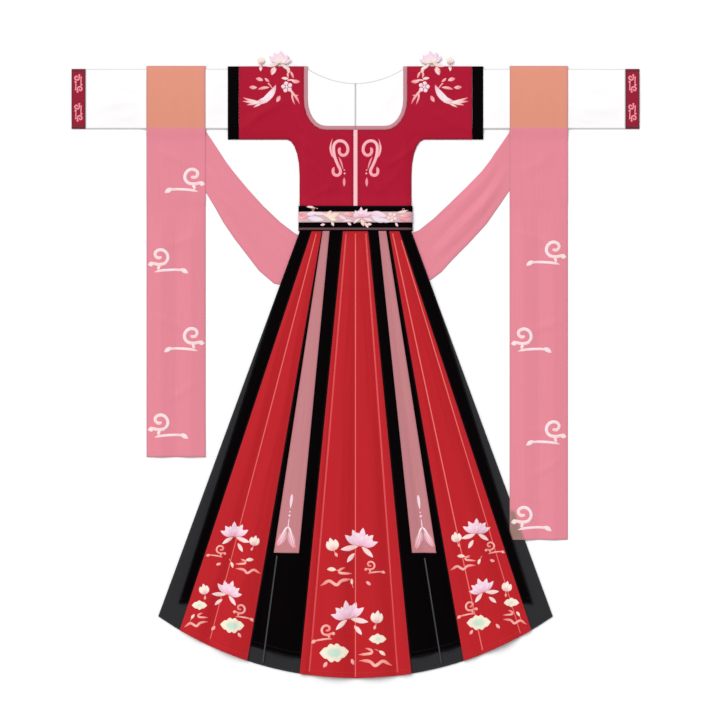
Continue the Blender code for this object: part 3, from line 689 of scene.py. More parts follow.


def cloth_material(name, colour, weave="plain", pitch=0.8, rough=0.7, sheen=0.06, specular=0.1,
                   tone=0.07, alpha=1, edge=0.86):
    """Woven cloth: threads across and along the piece, slubs, soft tones, and painted shade that darkens it
    along its edges.
    """
    shade = Shade(name, Roughness=rough, Sheen_Weight=sheen, Sheen_Roughness=0.45,
                  Specular_IOR_Level=specular, Alpha=alpha)
    place = shade.attribute("weave")
    parts = shade.add("SeparateXYZ", {0: place}).outputs
    turn = 2 * math.pi / pitch
    warp = shade.product(parts[0], turn)
    weft = shade.product(parts[1], turn * WEFT_PITCH)
    if weave == "plain":
        height = shade.product(shade.sine(warp), shade.sine(weft))
    elif weave == "twill":
        height = shade.sine(shade.plus(warp, weft))
    elif weave == "satin":
        height = shade.sine(shade.plus(warp, shade.product(weft, SATIN_SLANT)))
    else:
        crossing = shade.math("MAXIMUM", shade.sine(warp), shade.sine(weft))
        height = shade.math("POWER", shade.math("ABSOLUTE", crossing), 2)
    thread = shade.remap(height, -1, 1, 0, 1)
    slub_warp = shade.noise(shade.stretched(place, 0.9, 0.035), 1)
    slub_weft = shade.noise(shade.stretched(place, 0.03, 0.8), 1)
    slub = shade.plus(slub_warp, slub_weft)
    cloudy = shade.noise(shade.stretched(place, 0.012, 0.006), 1, 3)
    light = shade.plus(shade.remap(cloudy, 0.25, 0.75, 1 - tone, 1 + tone),
                       shade.remap(slub, *SLUBS, -tone / 2, tone / 2))
    light = shade.product(light, shade.remap(thread, 0, 1, 0.95, 1.05))
    # Painted shade: the colour darkens towards the cloth's edges, down to the share edge at the edge itself
    light = shade.product(light, shade.remap(parts[2], 0, EDGE_SHADE, edge, 1))
    base = tuple(linear(colour).tolist()) if colour else shade.attribute("tint")
    shade.set("Base Color", shade.times(base, light))
    shade.set("Roughness", shade.remap(slub, *SLUBS, rough - 0.06, rough + 0.08))
    shade.bump(0.6, THREAD_DEPTH, shade.plus(thread, shade.product(slub, 0.8)))
    return shade.material


FLOSS_PITCH = 0.6
FLOSS_DEPTH = 0.12


def floss_material(name):
    """Embroidery silk: the colour is the mesh's own, and the threads lie side by side."""
    shade = Shade(name, Roughness=0.42, Sheen_Weight=0.1, Specular_IOR_Level=0.35)
    place = shade.attribute("weave")
    parts = shade.add("SeparateXYZ", {0: place}).outputs
    thread = shade.sine(shade.product(parts[0], 2 * math.pi / FLOSS_PITCH))
    uneven = shade.noise(shade.stretched(place, 1.6, 0.12), 1)
    light = shade.plus(shade.remap(thread, -1, 1, 0.93, 1.02), shade.remap(uneven, 0.3, 0.7, -0.05, 0.05))
    shade.set("Base Color", shade.times(shade.attribute("tint"), light))
    shade.bump(0.5, FLOSS_DEPTH, thread)
    return shade.material


def floor_material():
    shade = Shade("studio_floor", Roughness=0.9, Specular_IOR_Level=0.1)
    place = shade.add("TexCoord", {}).outputs["Object"]
    tone = shade.remap(shade.noise(place, 3), 0.3, 0.7, 0.992, 1)
    shade.set("Base Color", shade.times((0.985, 0.985, 0.99), tone))
    return shade.material


# edge: share of a cloth's colour left at its edges by the painted edge shade, deepest on the white cotton
materials = {
    "white": cloth_material("white_cotton", "white", pitch=0.7, rough=0.85, tone=0.015, edge=0.5),
    "crimson": cloth_material("crimson_silk", "crimson", "twill", rough=0.62, edge=0.7),
    "red": cloth_material("red_silk", "red", "twill", rough=0.62),
    "black": cloth_material("black_silk", "black", "twill", sheen=0.01, specular=0.02),
    "charcoal": cloth_material("charcoal_cotton", "charcoal", pitch=0.9, rough=0.85, sheen=0.03,
                               specular=0.08),
    "belt_black": cloth_material("black_satin", "black", "satin", 0.6, 0.6, 0, 0.02),
    "band_pink": cloth_material("pink_brocade", "band_pink", "satin", 0.6, 0.5, tone=0.05),
    "trim_pink": cloth_material("pink_binding", "trim_pink", "satin", 0.6, 0.55),
    "piping": cloth_material("piping", "piping", "satin", 0.6, 0.55),
    "pale_pink": cloth_material("pale_pink_silk", "pale_pink", "satin", 0.6, 0.55, tone=0.03),
    "cuff_red": cloth_material("cuff_silk", "cuff_red", "twill", rough=0.6),
    "dusty_pink": cloth_material("ribbon_satin", "dusty_pink", "satin", 0.6, 0.5, tone=0.06),
    "scarf": cloth_material("scarf_gauze", None, "gauze", 0.9, 0.6, 0.15, 0.15, tone=0.04, alpha=0.9),
    "floss": floss_material("silk_floss"),
}

# Slot name for each material of a cloth, which keep_cloth stores on the cloth
SLOTS = {
    "white": "shirt_white",
    "crimson": "jacket_crimson",
    "red": "skirt_red",
    "black": "skirt_black",
    "charcoal": "underskirt_charcoal",
    "belt_black": "belt_black",
    "band_pink": "belt_band_pink",
    "trim_pink": "trim_greyish_pink",
    "piping": "trim_greyish_pink",
    "pale_pink": "centre_band_pink",
    "cuff_red": "cuff_red",
    "dusty_pink": "ribbon_dusty_pink",
    "scarf": "scarf_pink",
}


# Cloth pieces


SKIRT_GORES = {
    "black_outer_left": "black",
    "red_left": "red",
    "black_inner_left": "black",
    "red_centre": "red",
    "black_inner_right": "black",
    "red_right": "red",
    "black_outer_right": "black",
}

# Where the scarf's tints start and are full, upwards or outwards
SLEEVE_BOTTOM = (570, 573.5)
SLEEVE_TOP = (720, 722)
TAIL_SIDE = (350, 352)
SKIRT_REACHED = (320, 330)  # downwards
SKIRT_SIDE = (131, 0.3675)  # half width at the belt, and its spread for each millimetre down
SIDE_BLUR = 4
SWAG_BOTTOM = (400, 424)
SWAG_TOP = (566, 572)
SWAG_SIDE = (358, 364)
GREY_EDGE = (1.5, 6)
GREY_SHARE = 0.35


def scarf_tint(plan, weave):
    """Pink, warmer where it lies over a sleeve and darker over the skirt, with greyish edges."""
    out, y = np.abs(plan[:, 0]), plan[:, 1]
    colour = np.tile(linear("scarf_pink"), (len(plan), 1))
    side = SKIRT_SIDE[0] + SKIRT_SIDE[1] * (BELT_BOTTOM - y)
    masks = (
        ("scarf_on_sleeve", ramp(y, *SLEEVE_BOTTOM) * ramp(out, *TAIL_SIDE) * (1 - ramp(y, *SLEEVE_TOP))),
        ("scarf_on_skirt", ramp(-y, *SKIRT_REACHED) * (1 - ramp(out, side - SIDE_BLUR, side + SIDE_BLUR))),
    )
    for name, mask in masks:
        colour += (linear(name) - colour) * mask[:, None]
    on_swag = ramp(y, *SWAG_BOTTOM) * (1 - ramp(y, *SWAG_TOP)) * (1 - ramp(out, *SWAG_SIDE))
    grey = GREY_SHARE * (1 - ramp(weave[:, 2], *GREY_EDGE)) * (1 - on_swag)
    return colour + (linear("trim_pink") - colour) * grey[:, None]


# Cloths: how each is made, node, creases, material, steps and tint. A node that ends in _ has two sides
CLOTHS = (
    (make_four_sided, "ribbon_", "skirt", "dusty_pink", (4, 7)),
    (make_four_sided, "scarf_swag_", "swag", "scarf", (6, 6), scarf_tint),
    (make_four_sided, "scarf_tail_", "tail", "scarf", (5, 6), scarf_tint),
    (make_four_sided, "jacket_neck_trim_", "chest", "trim_pink", (2, 4)),
    (make_shaped, "jacket_front_", "chest", "crimson"),
    (make_shaped, "shirt_front_", "shirt", "white"),
    (make_tube, "shirt_sleeve_", "sleeve", "white"),
    (make_tube, "shirt_cuff_", "", "cuff_red"),
    (make_tube, "jacket_sleeve_band_", "chest", "belt_black"),
    (make_four_sided, "scarf_behind_waist", "", "scarf", (16, 16), scarf_tint),
    (make_four_sided, "jacket_centre_band", "chest", "pale_pink", (2, 5)),
    (make_four_sided, "underskirt_front", "", "charcoal", (10, 12)),
    (make_four_sided, "underskirt_back", "", "charcoal", (20, 20)),
    (make_four_sided, "belt_front", "", "belt_black", (5, 5)),
    (make_four_sided, "belt_back", "", "belt_black", (12, 8)),
    (make_four_sided, "belt_band", "", "band_pink", (5, 4)),
    (make_four_sided, "belt_piping", "", "piping", (5, 1.5)),
    (make_four_sided, "skirt_waistband_front", "", "belt_black", (12, 8)),
    (make_four_sided, "skirt_waistband_back", "", "belt_black", (12, 8)),
    (make_shaped, "jacket_back", "", "crimson", 12),
    (make_shaped, "shirt_back", "", "white", 12),
)


def make_cloths():
    for name, colour in SKIRT_GORES.items():
        make_four_sided("skirt_front_" + name, "skirt", colour)
        make_four_sided("skirt_back_" + name, "", colour, (16, 18))
    for make, node, *rest in CLOTHS:
        for side in SIDES if node.endswith("_") else ("",):
            make(node + side, *rest)


# Embroidery: small closed patches on the cloth, each a grid of plan points that rises to a soft dome


CLEAR = 0.06  # patches start this far above the cloth
LAYER_STEP = 0.22
PATCH_EDGE = 0.16  # height of a patch along its edge
STROKE_STEP = 1.7
STRAIGHT_STEP = 5
STROKE_COLUMNS = 5
BLADE_DOME = 0.6
BLADE_HOLLOW = (0.15, 0.18)  # depth and half width of the dip along a blade's middle
BLADE_TIP = 0.02  # share of its width that a blade keeps at its tips
LEAST_END = 0.12  # share of its width that a stroke keeps at its ends

TONES = {
    "petal": ("petal_base", "petal_middle", "petal_tip"),
    "white": ("petal_middle", "petal_tip"),
    "bird": ("petal_base", "petal_tip", "petal_tip", "petal_base"),
    "lavender": ("lavender", "petal_tip"),
    "cream": ("cream", "leaf_pink"),
    "cream_rose": ("cream", "rose"),
    "pale": ("leaf_pink", "petal_tip"),
    "rose": ("leaf_pink", "rose"),
    "blush": ("scroll_light", "chest_pink"),
    "deep_rose": ("rose", "petal_base"),
    "bud": ("petal_base", "cream", "petal_tip"),
    "mint": ("mint", "mint", "cream", "cream"),
    "small_mint": ("mint", "cream", "cream"),
    "scroll": ("scroll_pink", "scroll_light", "scroll_pink"),
    "cloud": ("cloud", "petal_tip", "cloud"),
    "chest": ("chest_pink", "pale_pink", "chest_pink"),
    "wing": ("petal_tip", "cloud", "rose"),
    "veil": ("ribbon_light", "petal_base"),
    "cuff": ("rose", "chest_pink", "rose"),
    "faint": ("cream", "petal_tip", "petal_middle"),
}

Place = namedtuple("Place", "x y turn size flip", defaults=(0, 1, 1))
HERE = Place(0, 0)


def put(place, points):
    """Plan points of a motif's own points."""
    turn = math.radians(place.turn)
    u, v = points[..., 0] * place.size * place.flip, points[..., 1] * place.size
    across = place.x + u * math.cos(turn) - v * math.sin(turn)
    return np.stack([across, place.y + u * math.sin(turn) + v * math.cos(turn)], axis=-1)


def within(place, x, y, turn=0, size=1, flip=1):
    """The place of a motif inside another motif."""
    at = put(place, np.array([x, y], float))
    return Place(at[0], at[1], place.turn + place.flip * turn, place.size * size, place.flip * flip)


def blended(tones, share):
    """Colours at shares of the way through a row of tones, or one plain colour."""
    stops = np.array([linear(tone) for tone in TONES.get(tones, (tones, tones))])
    places = np.linspace(0, 1, len(stops))
    return np.stack([np.interp(share, places, stops[:, i]) for i in range(3)], axis=-1)


class Work:
    """Embroidery of one area. Where the cloth ends, it lies at the given level."""

    def __init__(self, *nodes, level=0):
        points, faces, count = [], [], 0
        for node in nodes:
            points.append(cloths[node].top_points)
            faces.append(triangles_of(cloths[node].top_faces) + count)
            count += len(points[-1])
        self.ground = Surface(np.concatenate(points), np.concatenate(faces))
        self.level = level
        self.points, self.faces, self.tints, self.weaves, self.count = [], [], [], [], 0

    def patch(self, plan, rise, tint, weave):
        """Adds a grid of plan points, rows by columns, with the height of each above the cloth."""
        flat, shape = plan.reshape(-1, 2), plan.shape[:2]
        low = np.maximum(self.ground.heights(flat) + CLEAR, self.level)
        rise = np.broadcast_to(rise, shape).ravel()
        self.faces += (np.array(wall_faces(flat, grid_faces(*shape))) + self.count).tolist()
        self.points += [np.column_stack([flat, low]), np.column_stack([flat, low + rise])]
        self.tints += [np.broadcast_to(tint, (*shape, 3)).reshape(-1, 3)] * 2
        weave = np.broadcast_to(weave, (*shape, 2)).reshape(-1, 2)
        self.weaves += [np.column_stack([weave, rise])] * 2
        self.count += 2 * len(flat)

    def finish(self, name, slot="belt_band_pink"):
        tint, weave = np.concatenate(self.tints), np.concatenate(self.weaves)
        piece = add_mesh(name, np.concatenate(self.points), self.faces, materials["floss"], 75,
                         tint=tint, weave=weave)


def middle_line(start, heading, arcs, step):
    """Points and headings of a line that follows arcs: pairs of length and turn in degrees."""
    places, ways = [np.array(start, float)], [math.radians(heading)]
    for length, turn in arcs:
        count = max(2, math.ceil(length / step))
        for _ in range(count):
            way = ways[-1] + math.radians(turn) / count
            half = (way + ways[-1]) / 2
            places.append(places[-1] + length / count * np.array([math.cos(half), math.sin(half)]))
            ways.append(way)
    return np.array(places), np.array(ways)


def widened(place, places, ways, reach):
    """Plan of a grid across a middle line, each row reaching sideways by its own distances."""
    across = np.stack([-np.sin(ways), np.cos(ways)], axis=-1)
    return put(place, places[:, None] + across[:, None] * reach[..., None])


def band(work, place, places, ways, half, tones, rise):
    """A strip of satin stitch along a middle line, half[row] wide on each side."""
    u = np.linspace(-1, 1, STROKE_COLUMNS)
    reach = u[None] * half[:, None]
    plan = widened(place, places, ways, reach)
    dome = PATCH_EDGE + rise * (1 - u[None] ** 2) * np.minimum(1, half / half.max() * 1.6)[:, None]
    weave = np.stack([distances(places)[:, None] + 0.6 * reach, reach], axis=-1) * place.size
    work.patch(plan, dome, blended(tones, np.linspace(0, 1, len(places)))[:, None], weave)


def stroke(work, place, x, y, heading, arcs, width, tones, taper=(0.25, 0.25), rise=0.35):
    """A stitched line along arcs that narrows towards its ends over shares of its length."""
    places, ways = middle_line((x, y), heading, arcs, STROKE_STEP / place.size)
    share = np.linspace(0, 1, len(places))
    ends = ramp(share, -taper[0] * 0.3, taper[0]) * (1 - ramp(share, 1 - taper[1], 1 + taper[1] * 0.3))
    band(work, place, places, ways, width / 2 * np.maximum(ends, LEAST_END), tones, rise)


def straight(work, start, end, width, tones):
    """A stitched line of even width between two points of the plan."""
    ends = np.array([start, end], float)
    count = max(2, math.ceil(length_of(ends) / STRAIGHT_STEP))
    places = along_line(ends, np.linspace(0, 1, count + 1))
    way = math.atan2(end[1] - start[1], end[0] - start[0])
    band(work, HERE, places, np.full(count + 1, way), np.full(count + 1, width / 2), tones, 0.3)


def blade(work, place, x, y, heading, length, width, tones, bend=0, layer=0, belly=0.5, lobes=0,
          columns=7):
    """A petal or leaf with its stitches along it, widest at its belly, a share of its length.

    Lobes wave its edge, and its tones then start at its heart.
    """
    rows = max(9, round(length * place.size / 3), 8 * lobes)
    places, ways = middle_line((x, y), heading - bend / 2, [(length, bend)], length / (rows - 1.001))
    s = np.linspace(0, 1, len(places))
    swell = np.maximum(np.sin(math.pi * s ** (math.log(0.5) / math.log(belly))), 0)
    half = width / 2 * (swell ** 0.85 + BLADE_TIP)
    if lobes:
        half *= 0.80 + 0.26 * np.abs(np.sin(lobes * math.pi * s))
    u = np.linspace(-1, 1, columns)[None]
    reach = u * half[:, None]
    plan = widened(place, places, ways, reach)
    hollow = BLADE_HOLLOW[0] * np.exp(-(u / BLADE_HOLLOW[1]) ** 2)
    dome = BLADE_DOME * (np.sqrt(np.maximum(1 - u ** 2, 0)) - hollow) * swell[:, None]
    share = np.sqrt(u ** 2 + (2 * s[:, None] - 1) ** 2) if lobes else s[:, None] + 0 * u
    tint = blended(tones, np.minimum(share, 1)) * (1 - 0.10 * np.abs(u[..., None]) ** 3)
    weave = np.stack([reach, s[:, None] * length + 0 * reach], axis=-1) * place.size
    work.patch(plan, PATCH_EDGE + np.maximum(dome, 0) + layer * LAYER_STEP, tint, weave)


def blades(work, place, table):
    for row in table:
        blade(work, place, *row)


def strokes(work, place, table):
    for row in table:
        stroke(work, place, *row)


def dot(work, place, x, y, size, tones):
    blade(work, place, x - size / 2, y, 0, size, size, tones, columns=5)


# Motifs, in their own sizes. Headings are in degrees from the motif's own right, counter-clockwise, and
# a bent petal starts half its bend before its heading. Petals and leaves: place of the base, heading,
# length, width, tones, bend and layer. Strokes: start, heading, arcs, width and tones

# Petals of a lotus that stand on its heart, those behind first: X, heading, length, width, bend and layer
LOTUS_PETALS = (
    (-2, 166, 35, 12, -14, 0),
    (2, 37, 38, 13, 12, 0),
    (-1, 138, 34, 14, -8, 0),
    (1, 65, 37, 14, 6, 0),
    (0, 98, 38, 14.5, -2, 1),
    (-2, 152, 27, 12, -8, 2),
    (2, 50, 28, 12, 8, 2),
    (-1, 119, 28, 12.5, -6, 2),
    (1, 81, 28, 12.5, 5, 2),
    (0, 100, 21, 12, 0, 3),
)
LOTUS_LOW_PETALS = (
    (5, -1, -9, 37, 11, "pale", 8, 3),
    (-2, -2, 222, 32, 10, "pale", 8, 3),
    (12, -15, -50, 25, 9.5, "pale", -6, 0),
)


def lotus(work, place, tones="petal"):
    """An open lotus seen from the side, with a low petal on each side and one that drops."""
    for x, *petal, bend, layer in LOTUS_PETALS:
        blade(work, place, x, 0, *petal, tones, bend, layer)
    blades(work, place, LOTUS_LOW_PETALS)
    for x in (-2, 0, 2):
        stroke(work, place, x, -2, 92 - 10 * x, [(9, 0)], 1.2, "cream", rise=1.2)


def bud(work, place):
    """A closed lotus bud on a short stalk, with a small leaf under it."""
    blades(work, place, (
        (0, -12, 112, 25, 15, "bud", -34, 0),
        (0, -12, 68, 25, 15, "bud", 34, 0),
        (0, -12, 88, 29, 15, "bud", 4, 1, 0.42),
        (-0.5, -16, -104, 12, 6.5, "scroll", 10, 0),
    ))
    stroke(work, place, 0, -11, -92, [(7, -10)], 1.8, "scroll")


def big_leaf(work, place):
    """A lotus leaf from above: a lobed edge round a mint heart, with veins and a drop under it."""
    blade(work, place, -30, 0, 0, 60, 37, "mint", 8, 0, 0.5, 4, 13)
    for turn in (24, 62, 118, 156, 204, 242, 298, 336):
        reach = 10 + 7 * abs(math.cos(math.radians(turn)))
        stroke(work, place, 0, 0, turn, [(reach, 14)], 0.9, "cream", rise=0.95)
    drop(work, within(place, 20, -24, -44))


def small_leaf(work, place):
    blade(work, place, -19, 0, 4, 38, 21.5, "small_mint", -12, 0, 0.5, 3, 11)
    stroke(work, place, -13, 0, 0, [(26, -6)], 0.9, "cream", rise=0.95)


def leaflet(work, place):
    """A leaf on the end of a thin stalk."""
    blade(work, place, -10, 0, 14, 20, 9, "cream", -20)
    stroke(work, place, -8, 0, 190, [(14, 30)], 1.6, "scroll")


def drop(work, place, tones="blush"):
    blade(work, place, -7, 1, -10, 14, 7.5, tones, 14)


def pale_drop(work, place):
    drop(work, place, "pale")


def cloud(work, place, tones="cloud", width=7.4):
    """A curled cloud: a ring that runs out into a round foot, a link and a trail that ends in a drop."""
    ring = [(14.5, 95), (14.5, 95), (20.5, 75), (16.5, 50), (22, 80), (18, 30), (15, -15)]
    strokes(work, place, (
        (-4, -4, -50, ring, width, tones, (0.02, 0.02), 0.5),
        (1, -22, -80, [(14, 14)], width * 0.9, tones, (0.1, 0.2), 0.4),
        (13, -41, 160, [(20, 14), (32, 6), (16, 24)], width * 0.8, tones, (0.15, 0.1), 0.5),
    ))
    blade(work, place, 14, -21, -8, 15, width * 1.5, tones, 0, 1)
    blade(work, place, -46, -33, 208, 23, width * 1.5, tones, 22, 1)


def curl(work, place):
    cloud(work, place, "scroll", 8.4)


def wisp(work, place):
    """A wave with two humps, and a hook that hangs over its start."""
    wave = [(15, -10), (12, -50), (8, 90), (8, 5), (10, -75), (14, 10)]
    strokes(work, place, (
        (-32, 5, 5, wave, 5.6, "scroll", (0.2, 0.2)),
        (-21, 28, -8, [(11, -20), (8, -142), (22, -6)], 4.6, "scroll", (0.2, 0.25)),
    ))


def flower(work, place, tones="pale"):
    """A small blossom with five round petals."""
    for turn in range(90, 450, 72):
        way = math.radians(turn)
        blade(work, place, 1.5 * math.cos(way), 1.5 * math.sin(way), turn, 9, 8, tones, belly=0.6)
    dot(work, place, 0, 0, 4.5, "cream")


MOTIFS = {"lotus": lotus, "bud": bud, "big_leaf": big_leaf, "small_leaf": small_leaf, "leaflet": leaflet,
          "drop": drop, "pale_drop": pale_drop, "curl": curl, "wisp": wisp, "flower": flower}


def sew(work, place, rows):
    """Motifs at their places: name, X, Y, turn, size and side."""
    for name, *where in rows:
        MOTIFS[name](work, within(place, *where))


# Motifs of the left gore, which the right gore has mirrored and a little higher
UPPER_SPRAY = (
    ("lotus", -285, -386, -10, 0.93),
    ("bud", -237, -397, -12, 0.86),
    ("curl", -316, -414, -5, 0.5),
    ("drop", -321, -450, 28, 0.9),
    ("leaflet", -292, -453, -86, 0.75),
    ("leaflet", -248, -443, -12, 0.95),
    ("wisp", -250, -468, -3, 1),
)
LOWER_SPRAY = (
    ("lotus", -299, -522, -12, 0.9, -1),
    ("bud", -355, -511, 12, 0.86),
    ("small_leaf", -366, -549, -4, 0.95),
    ("big_leaf", -289, -593, -3, 0.94),
    ("curl", -269, -553, -14, 0.56, -1),
    ("wisp", -376, -593, 4, 0.95, -1),
    ("drop", -334, -601, 60, 1),
    ("leaflet", -380, -575, 40, 0.7),
)
CENTRE_SPRAY = (
    ("lotus", 12, -408, 0, 1.13, -1),
    ("bud", -54, -406, 16, 1.08, -1),
    ("curl", 35, -451, 2, 0.52, -1),
    ("drop", 31, -495, -28, 1),
    ("leaflet", -6, -492, 80, 0.75),
    ("leaflet", -56, -466, 12, 1.1, -1),
    ("wisp", -48, -495, 3, 1.25, -1),
    ("lotus", -17, -578, 0, 1.13),
    ("bud", 50, -576, -6, 1.05),
    ("small_leaf", 52, -628, 4, 1.08, -1),
    ("big_leaf", -50, -657, 3, 1.15, -1),
    ("curl", -68, -602, 12, 0.64),
    ("wisp", 50, -684, 0, 1.3),
    ("drop", -6, -680, -60, 1.1),
    ("leaflet", 61, -661, -50, 0.95),
)
SPRAYS = {
    "red_left": ((UPPER_SPRAY, 0, 1), (LOWER_SPRAY, 0, 1)),
    "red_centre": ((CENTRE_SPRAY, 0, 1),),
    "red_right": ((UPPER_SPRAY, 8, -1), (LOWER_SPRAY, 6, -1)),
}


def embroider_skirt():
    for gore, sprays in SPRAYS.items():
        work = Work("skirt_front_" + gore)
        for rows, higher, flip in sprays:
            sew(work, Place(0, higher, flip=flip), rows)
        work.finish("embroidery_" + gore)


# Stitched pleat lines of the skirt: gore, X at the belt, spread for each millimetre down, start and end
# below the belt, width and colour
PLEATS = (
    ("red_centre", 0, 0, 6, 1046, 2.6, "pleat_pink"),
    ("red_centre", -21.4, -0.0837, 6, 1034, 3.6, "pleat_red"),
    ("red_centre", 23.8, 0.0726, 6, 1036, 3.6, "pleat_red"),
    ("red_left", -90.4, -0.2615, 6, 958, 2.3, "pleat_pink"),
    ("red_right", 85.8, 0.2159, 6, 984, 2.6, "pleat_pink"),
    ("red_right", 101, 0.3030, 22, 944, 2.2, "pleat_pink"),
    ("black_inner_left", -84, -0.1320, 762, 1012, 3.2, "pleat_grey"),
    ("black_inner_right", 40, 0.1590, 768, 1015, 3.2, "pleat_grey"),
)


def stitch_pleats():
    works = {}
    for gore, start, spread, first, last, width, colour in PLEATS:
        work = works.setdefault(gore, Work("skirt_front_" + gore))
        ends = [(start + spread * down, BELT_BOTTOM - down) for down in (first, last)]
        straight(work, *ends, width, colour)
    for gore, work in works.items():
        work.finish("pleat_lines_" + gore, "skirt_red")


# The chest's scroll, on the right side: from its hook below to the heart of its ring
CHEST_SCROLL = [(12, -35), (27, -178), (8, -25), (24, 8), (25, 20), (6, 10), (19, 75), (19, 62), (16.5, 42),
                (11.5, 50), (9.5, 65), (9.5, 50), (10, 50)]
CHEST_STROKES = (
    (50, 481, -60, CHEST_SCROLL, 6.8, "chest", (0.03, 0.02), 0.5),
    (51, 502, 58, [(10, 10), (12, 16), (10, 16), (16, 10)], 4.6, "chest", (0.15, 0.5)),
    (40, 506, -120, [(14, 10), (20, 8)], 4, "deep_rose", (0.3, 0.5)),
)


def embroider_chest():
    for flip, word in MIRRORED:
        work = Work("jacket_front_" + word)
        place = Place(0, 0, flip=flip)
        strokes(work, place, CHEST_STROKES)
        dot(work, place, 26, 474, 3.6, "chest")
        dot(work, place, 25.5, 466, 5, "chest")
        blade(work, place, 26.5, 457, -90, 22, 6.5, "deep_rose")
        work.finish("embroidery_chest_" + word)


# Clouds on the scarf: X and Y of each ring, and its side
CLOUDS = {
    "left": ((-382, 464, 1), (-459, 275, -1), (-383, 90, 1), (-459, -113, -1)),
    "right": ((467, 293, 1), (394, 89, -1), (467, -129, 1), (394, -330, -1)),
}


def embroider_scarf():
    for word, places in CLOUDS.items():
        work = Work("scarf_tail_" + word)
        for x, y, flip in places:
            cloud(work, Place(x, y, flip=flip))
        work.finish("clouds_tail_" + word)


RIBBON_MOTIFS = {"left": Place(-148.5, -286, -7), "right": Place(146.5, -288, 7.4)}


def embroider_ribbons():
    """A drop and two dots over an open bell, near each ribbon's end."""
    for word, place in RIBBON_MOTIFS.items():
        work = Work("ribbon_" + word)
        blade(work, place, 0, 0, -90, 35, 7, "white", belly=0.35)
        dot(work, place, 0, -42, 4, "white")
        dot(work, place, 0, -51, 6, "white")
        stroke(work, place, 0, -56, -90, [(24, 0)], 2.4, "white")
        for side in (-1, 1):
            mirror = within(place, 0, -79, 0, 1.08, side)
            blade(work, mirror, 3, -6, -68, 40, 16, "veil", 4)
            stroke(work, mirror, 0, 2, -46, [(14, -24), (38, 10)], 4.6, "wing", (0.1, 0.3), 0.8)
            stroke(work, mirror, 2, -10, -56, [(18, -18), (14, 10)], 2.6, "white", (0.3, 0.4), 0.9)
        work.finish("embroidery_ribbon_" + word)


CUFF_MIDDLE = 650.5
CUFF_HALF = 15.5
CUFF_ENDS = (574.6, 708.4)
CUFF_EDGING = 14.8  # distance of the edging's long sides from the cuff's middle
CUFF_CLOUDS = ((691, 90), (664, -90), (623, 90), (596, -90))  # Y and turn


def embroider_cuffs():
    """Wine edging, with two curled clouds in each end of the cuff."""
    for flip, word in MIRRORED:
        work = Work("shirt_cuff_" + word)
        middle = flip * CUFF_MIDDLE
        for y in CUFF_ENDS:
            straight(work, (middle - CUFF_HALF, y), (middle + CUFF_HALF, y), 5, "wine")
        for x in (middle - CUFF_EDGING, middle + CUFF_EDGING):
            straight(work, (x, CUFF_ENDS[0]), (x, CUFF_ENDS[1]), 2.4, "wine")
        for y, turn in CUFF_CLOUDS:
            cloud(work, Place(middle - turn / 20, y, turn, 0.3), "cuff", 12)
        work.finish("embroidery_cuff_" + word)


# The belt's spray: petals and leaves, then motifs
BELT_BLADES = (
    (-134, 372, -20, 26, 9, "deep_rose", 20),
    (-132, 360, 14, 28, 8, "rose", -20),
    (-116, 367, 16, 26, 11, "lavender", -10),
    (-112, 362, -8, 38, 13, "lavender", 14, 1),
    (-98, 371, -4, 26, 9, "lavender", -16),
    (-115, 387, -10, 20, 6, "pale", -44),
    (-66, 362, 62, 19, 10, "cream", -14),
    (-64, 362, 22, 28, 12, "cream", 12, 1),
    (-65, 362, -14, 22, 9, "small_mint", 18),
    (-66, 364, 140, 13, 8, "cream", 14),
    (-40, 368, -28, 22, 8, "pale", 20),
    (-26, 372, -14, 24, 10, "rose", -10, 1),
    (-30, 352, 8, 22, 5.5, "white", -24),
    (14, 357, -70, 16, 9, "cream", -10, 2),
    (32, 372, -10, 42, 14, "white", -22),
    (38, 366, -28, 32, 13, "lavender", 10, 1),
    (52, 362, -18, 32, 10, "lavender", 24),
    (96, 374, 12, 26, 7, "pale", 30),
    (104, 366, -4, 26, 9, "rose", -14),
    (102, 359, -12, 30, 7, "deep_rose", 16),
)
BELT_MOTIFS = (
    ("lotus", 14, 362, -6, 0.66),
    ("flower", 86, 363, 30, 1.15),
    ("pale_drop", -77, 346, 20, 0.8),
    ("pale_drop", -53, 348, -60, 0.9),
    ("pale_drop", -14, 348, -30, 0.8),
    ("pale_drop", 32, 347, 10, 0.9),
    ("pale_drop", 97, 346, -50, 0.8),
    ("curl", -100, 381, 160, 0.16),
    ("curl", 112, 381, 20, 0.16, -1),
)


def embroider_belt():
    work = Work("belt_front", "belt_band", "jacket_front_left", "jacket_front_right")
    blades(work, HERE, BELT_BLADES)
    sew(work, HERE, BELT_MOTIFS)
    work.finish("embroidery_belt")


SHOULDER_LEVEL = 5.1  # height of the lotus that stands above the shoulder

# The shoulder's spray, on the left side: hanging leaves, a swallow, and stems
SHOULDER_BLADES = (
    (-221, 722, -96, 16, 7, "white", 10),
    (-188, 718, -118, 22, 9, "cream_rose", 20),
    (-160, 718, -78, 18, 8, "cream", -16),
    (-159, 704, -84, 15, 5, "rose", 20),
    (-153, 706, -66, 19, 5.5, "rose", -20),
    (-217, 684, 165, 18, 9, "rose", 20),
    (-213, 690, -40, 15, 6, "rose", 16),
    (-231, 668, 176, 19, 9, "rose", -20),
    (-202, 668, 190, 28, 7, "rose", 20),
    (-185, 634, 62, 17, 9, "rose", 10),
    (-150, 683, -4, 20, 9, "rose", 14),
    (-174, 690, -8, 17, 7, "pale", -10),
    (-187, 674, -134, 64, 15, "bird", -52, 1),
    (-196, 652, 204, 38, 8, "bird", -34, 2),
    (-222, 634, 166, 44, 6, "wing", -26, 1),
    (-224, 633, 176, 42, 5.5, "wing", -12, 1),
    (-224, 632, 190, 32, 5.5, "wing", 6, 1),
    (-220, 630, 204, 22, 5, "wing", 10),
    (-206, 634, 196, 26, 6, "wing", 30),
)
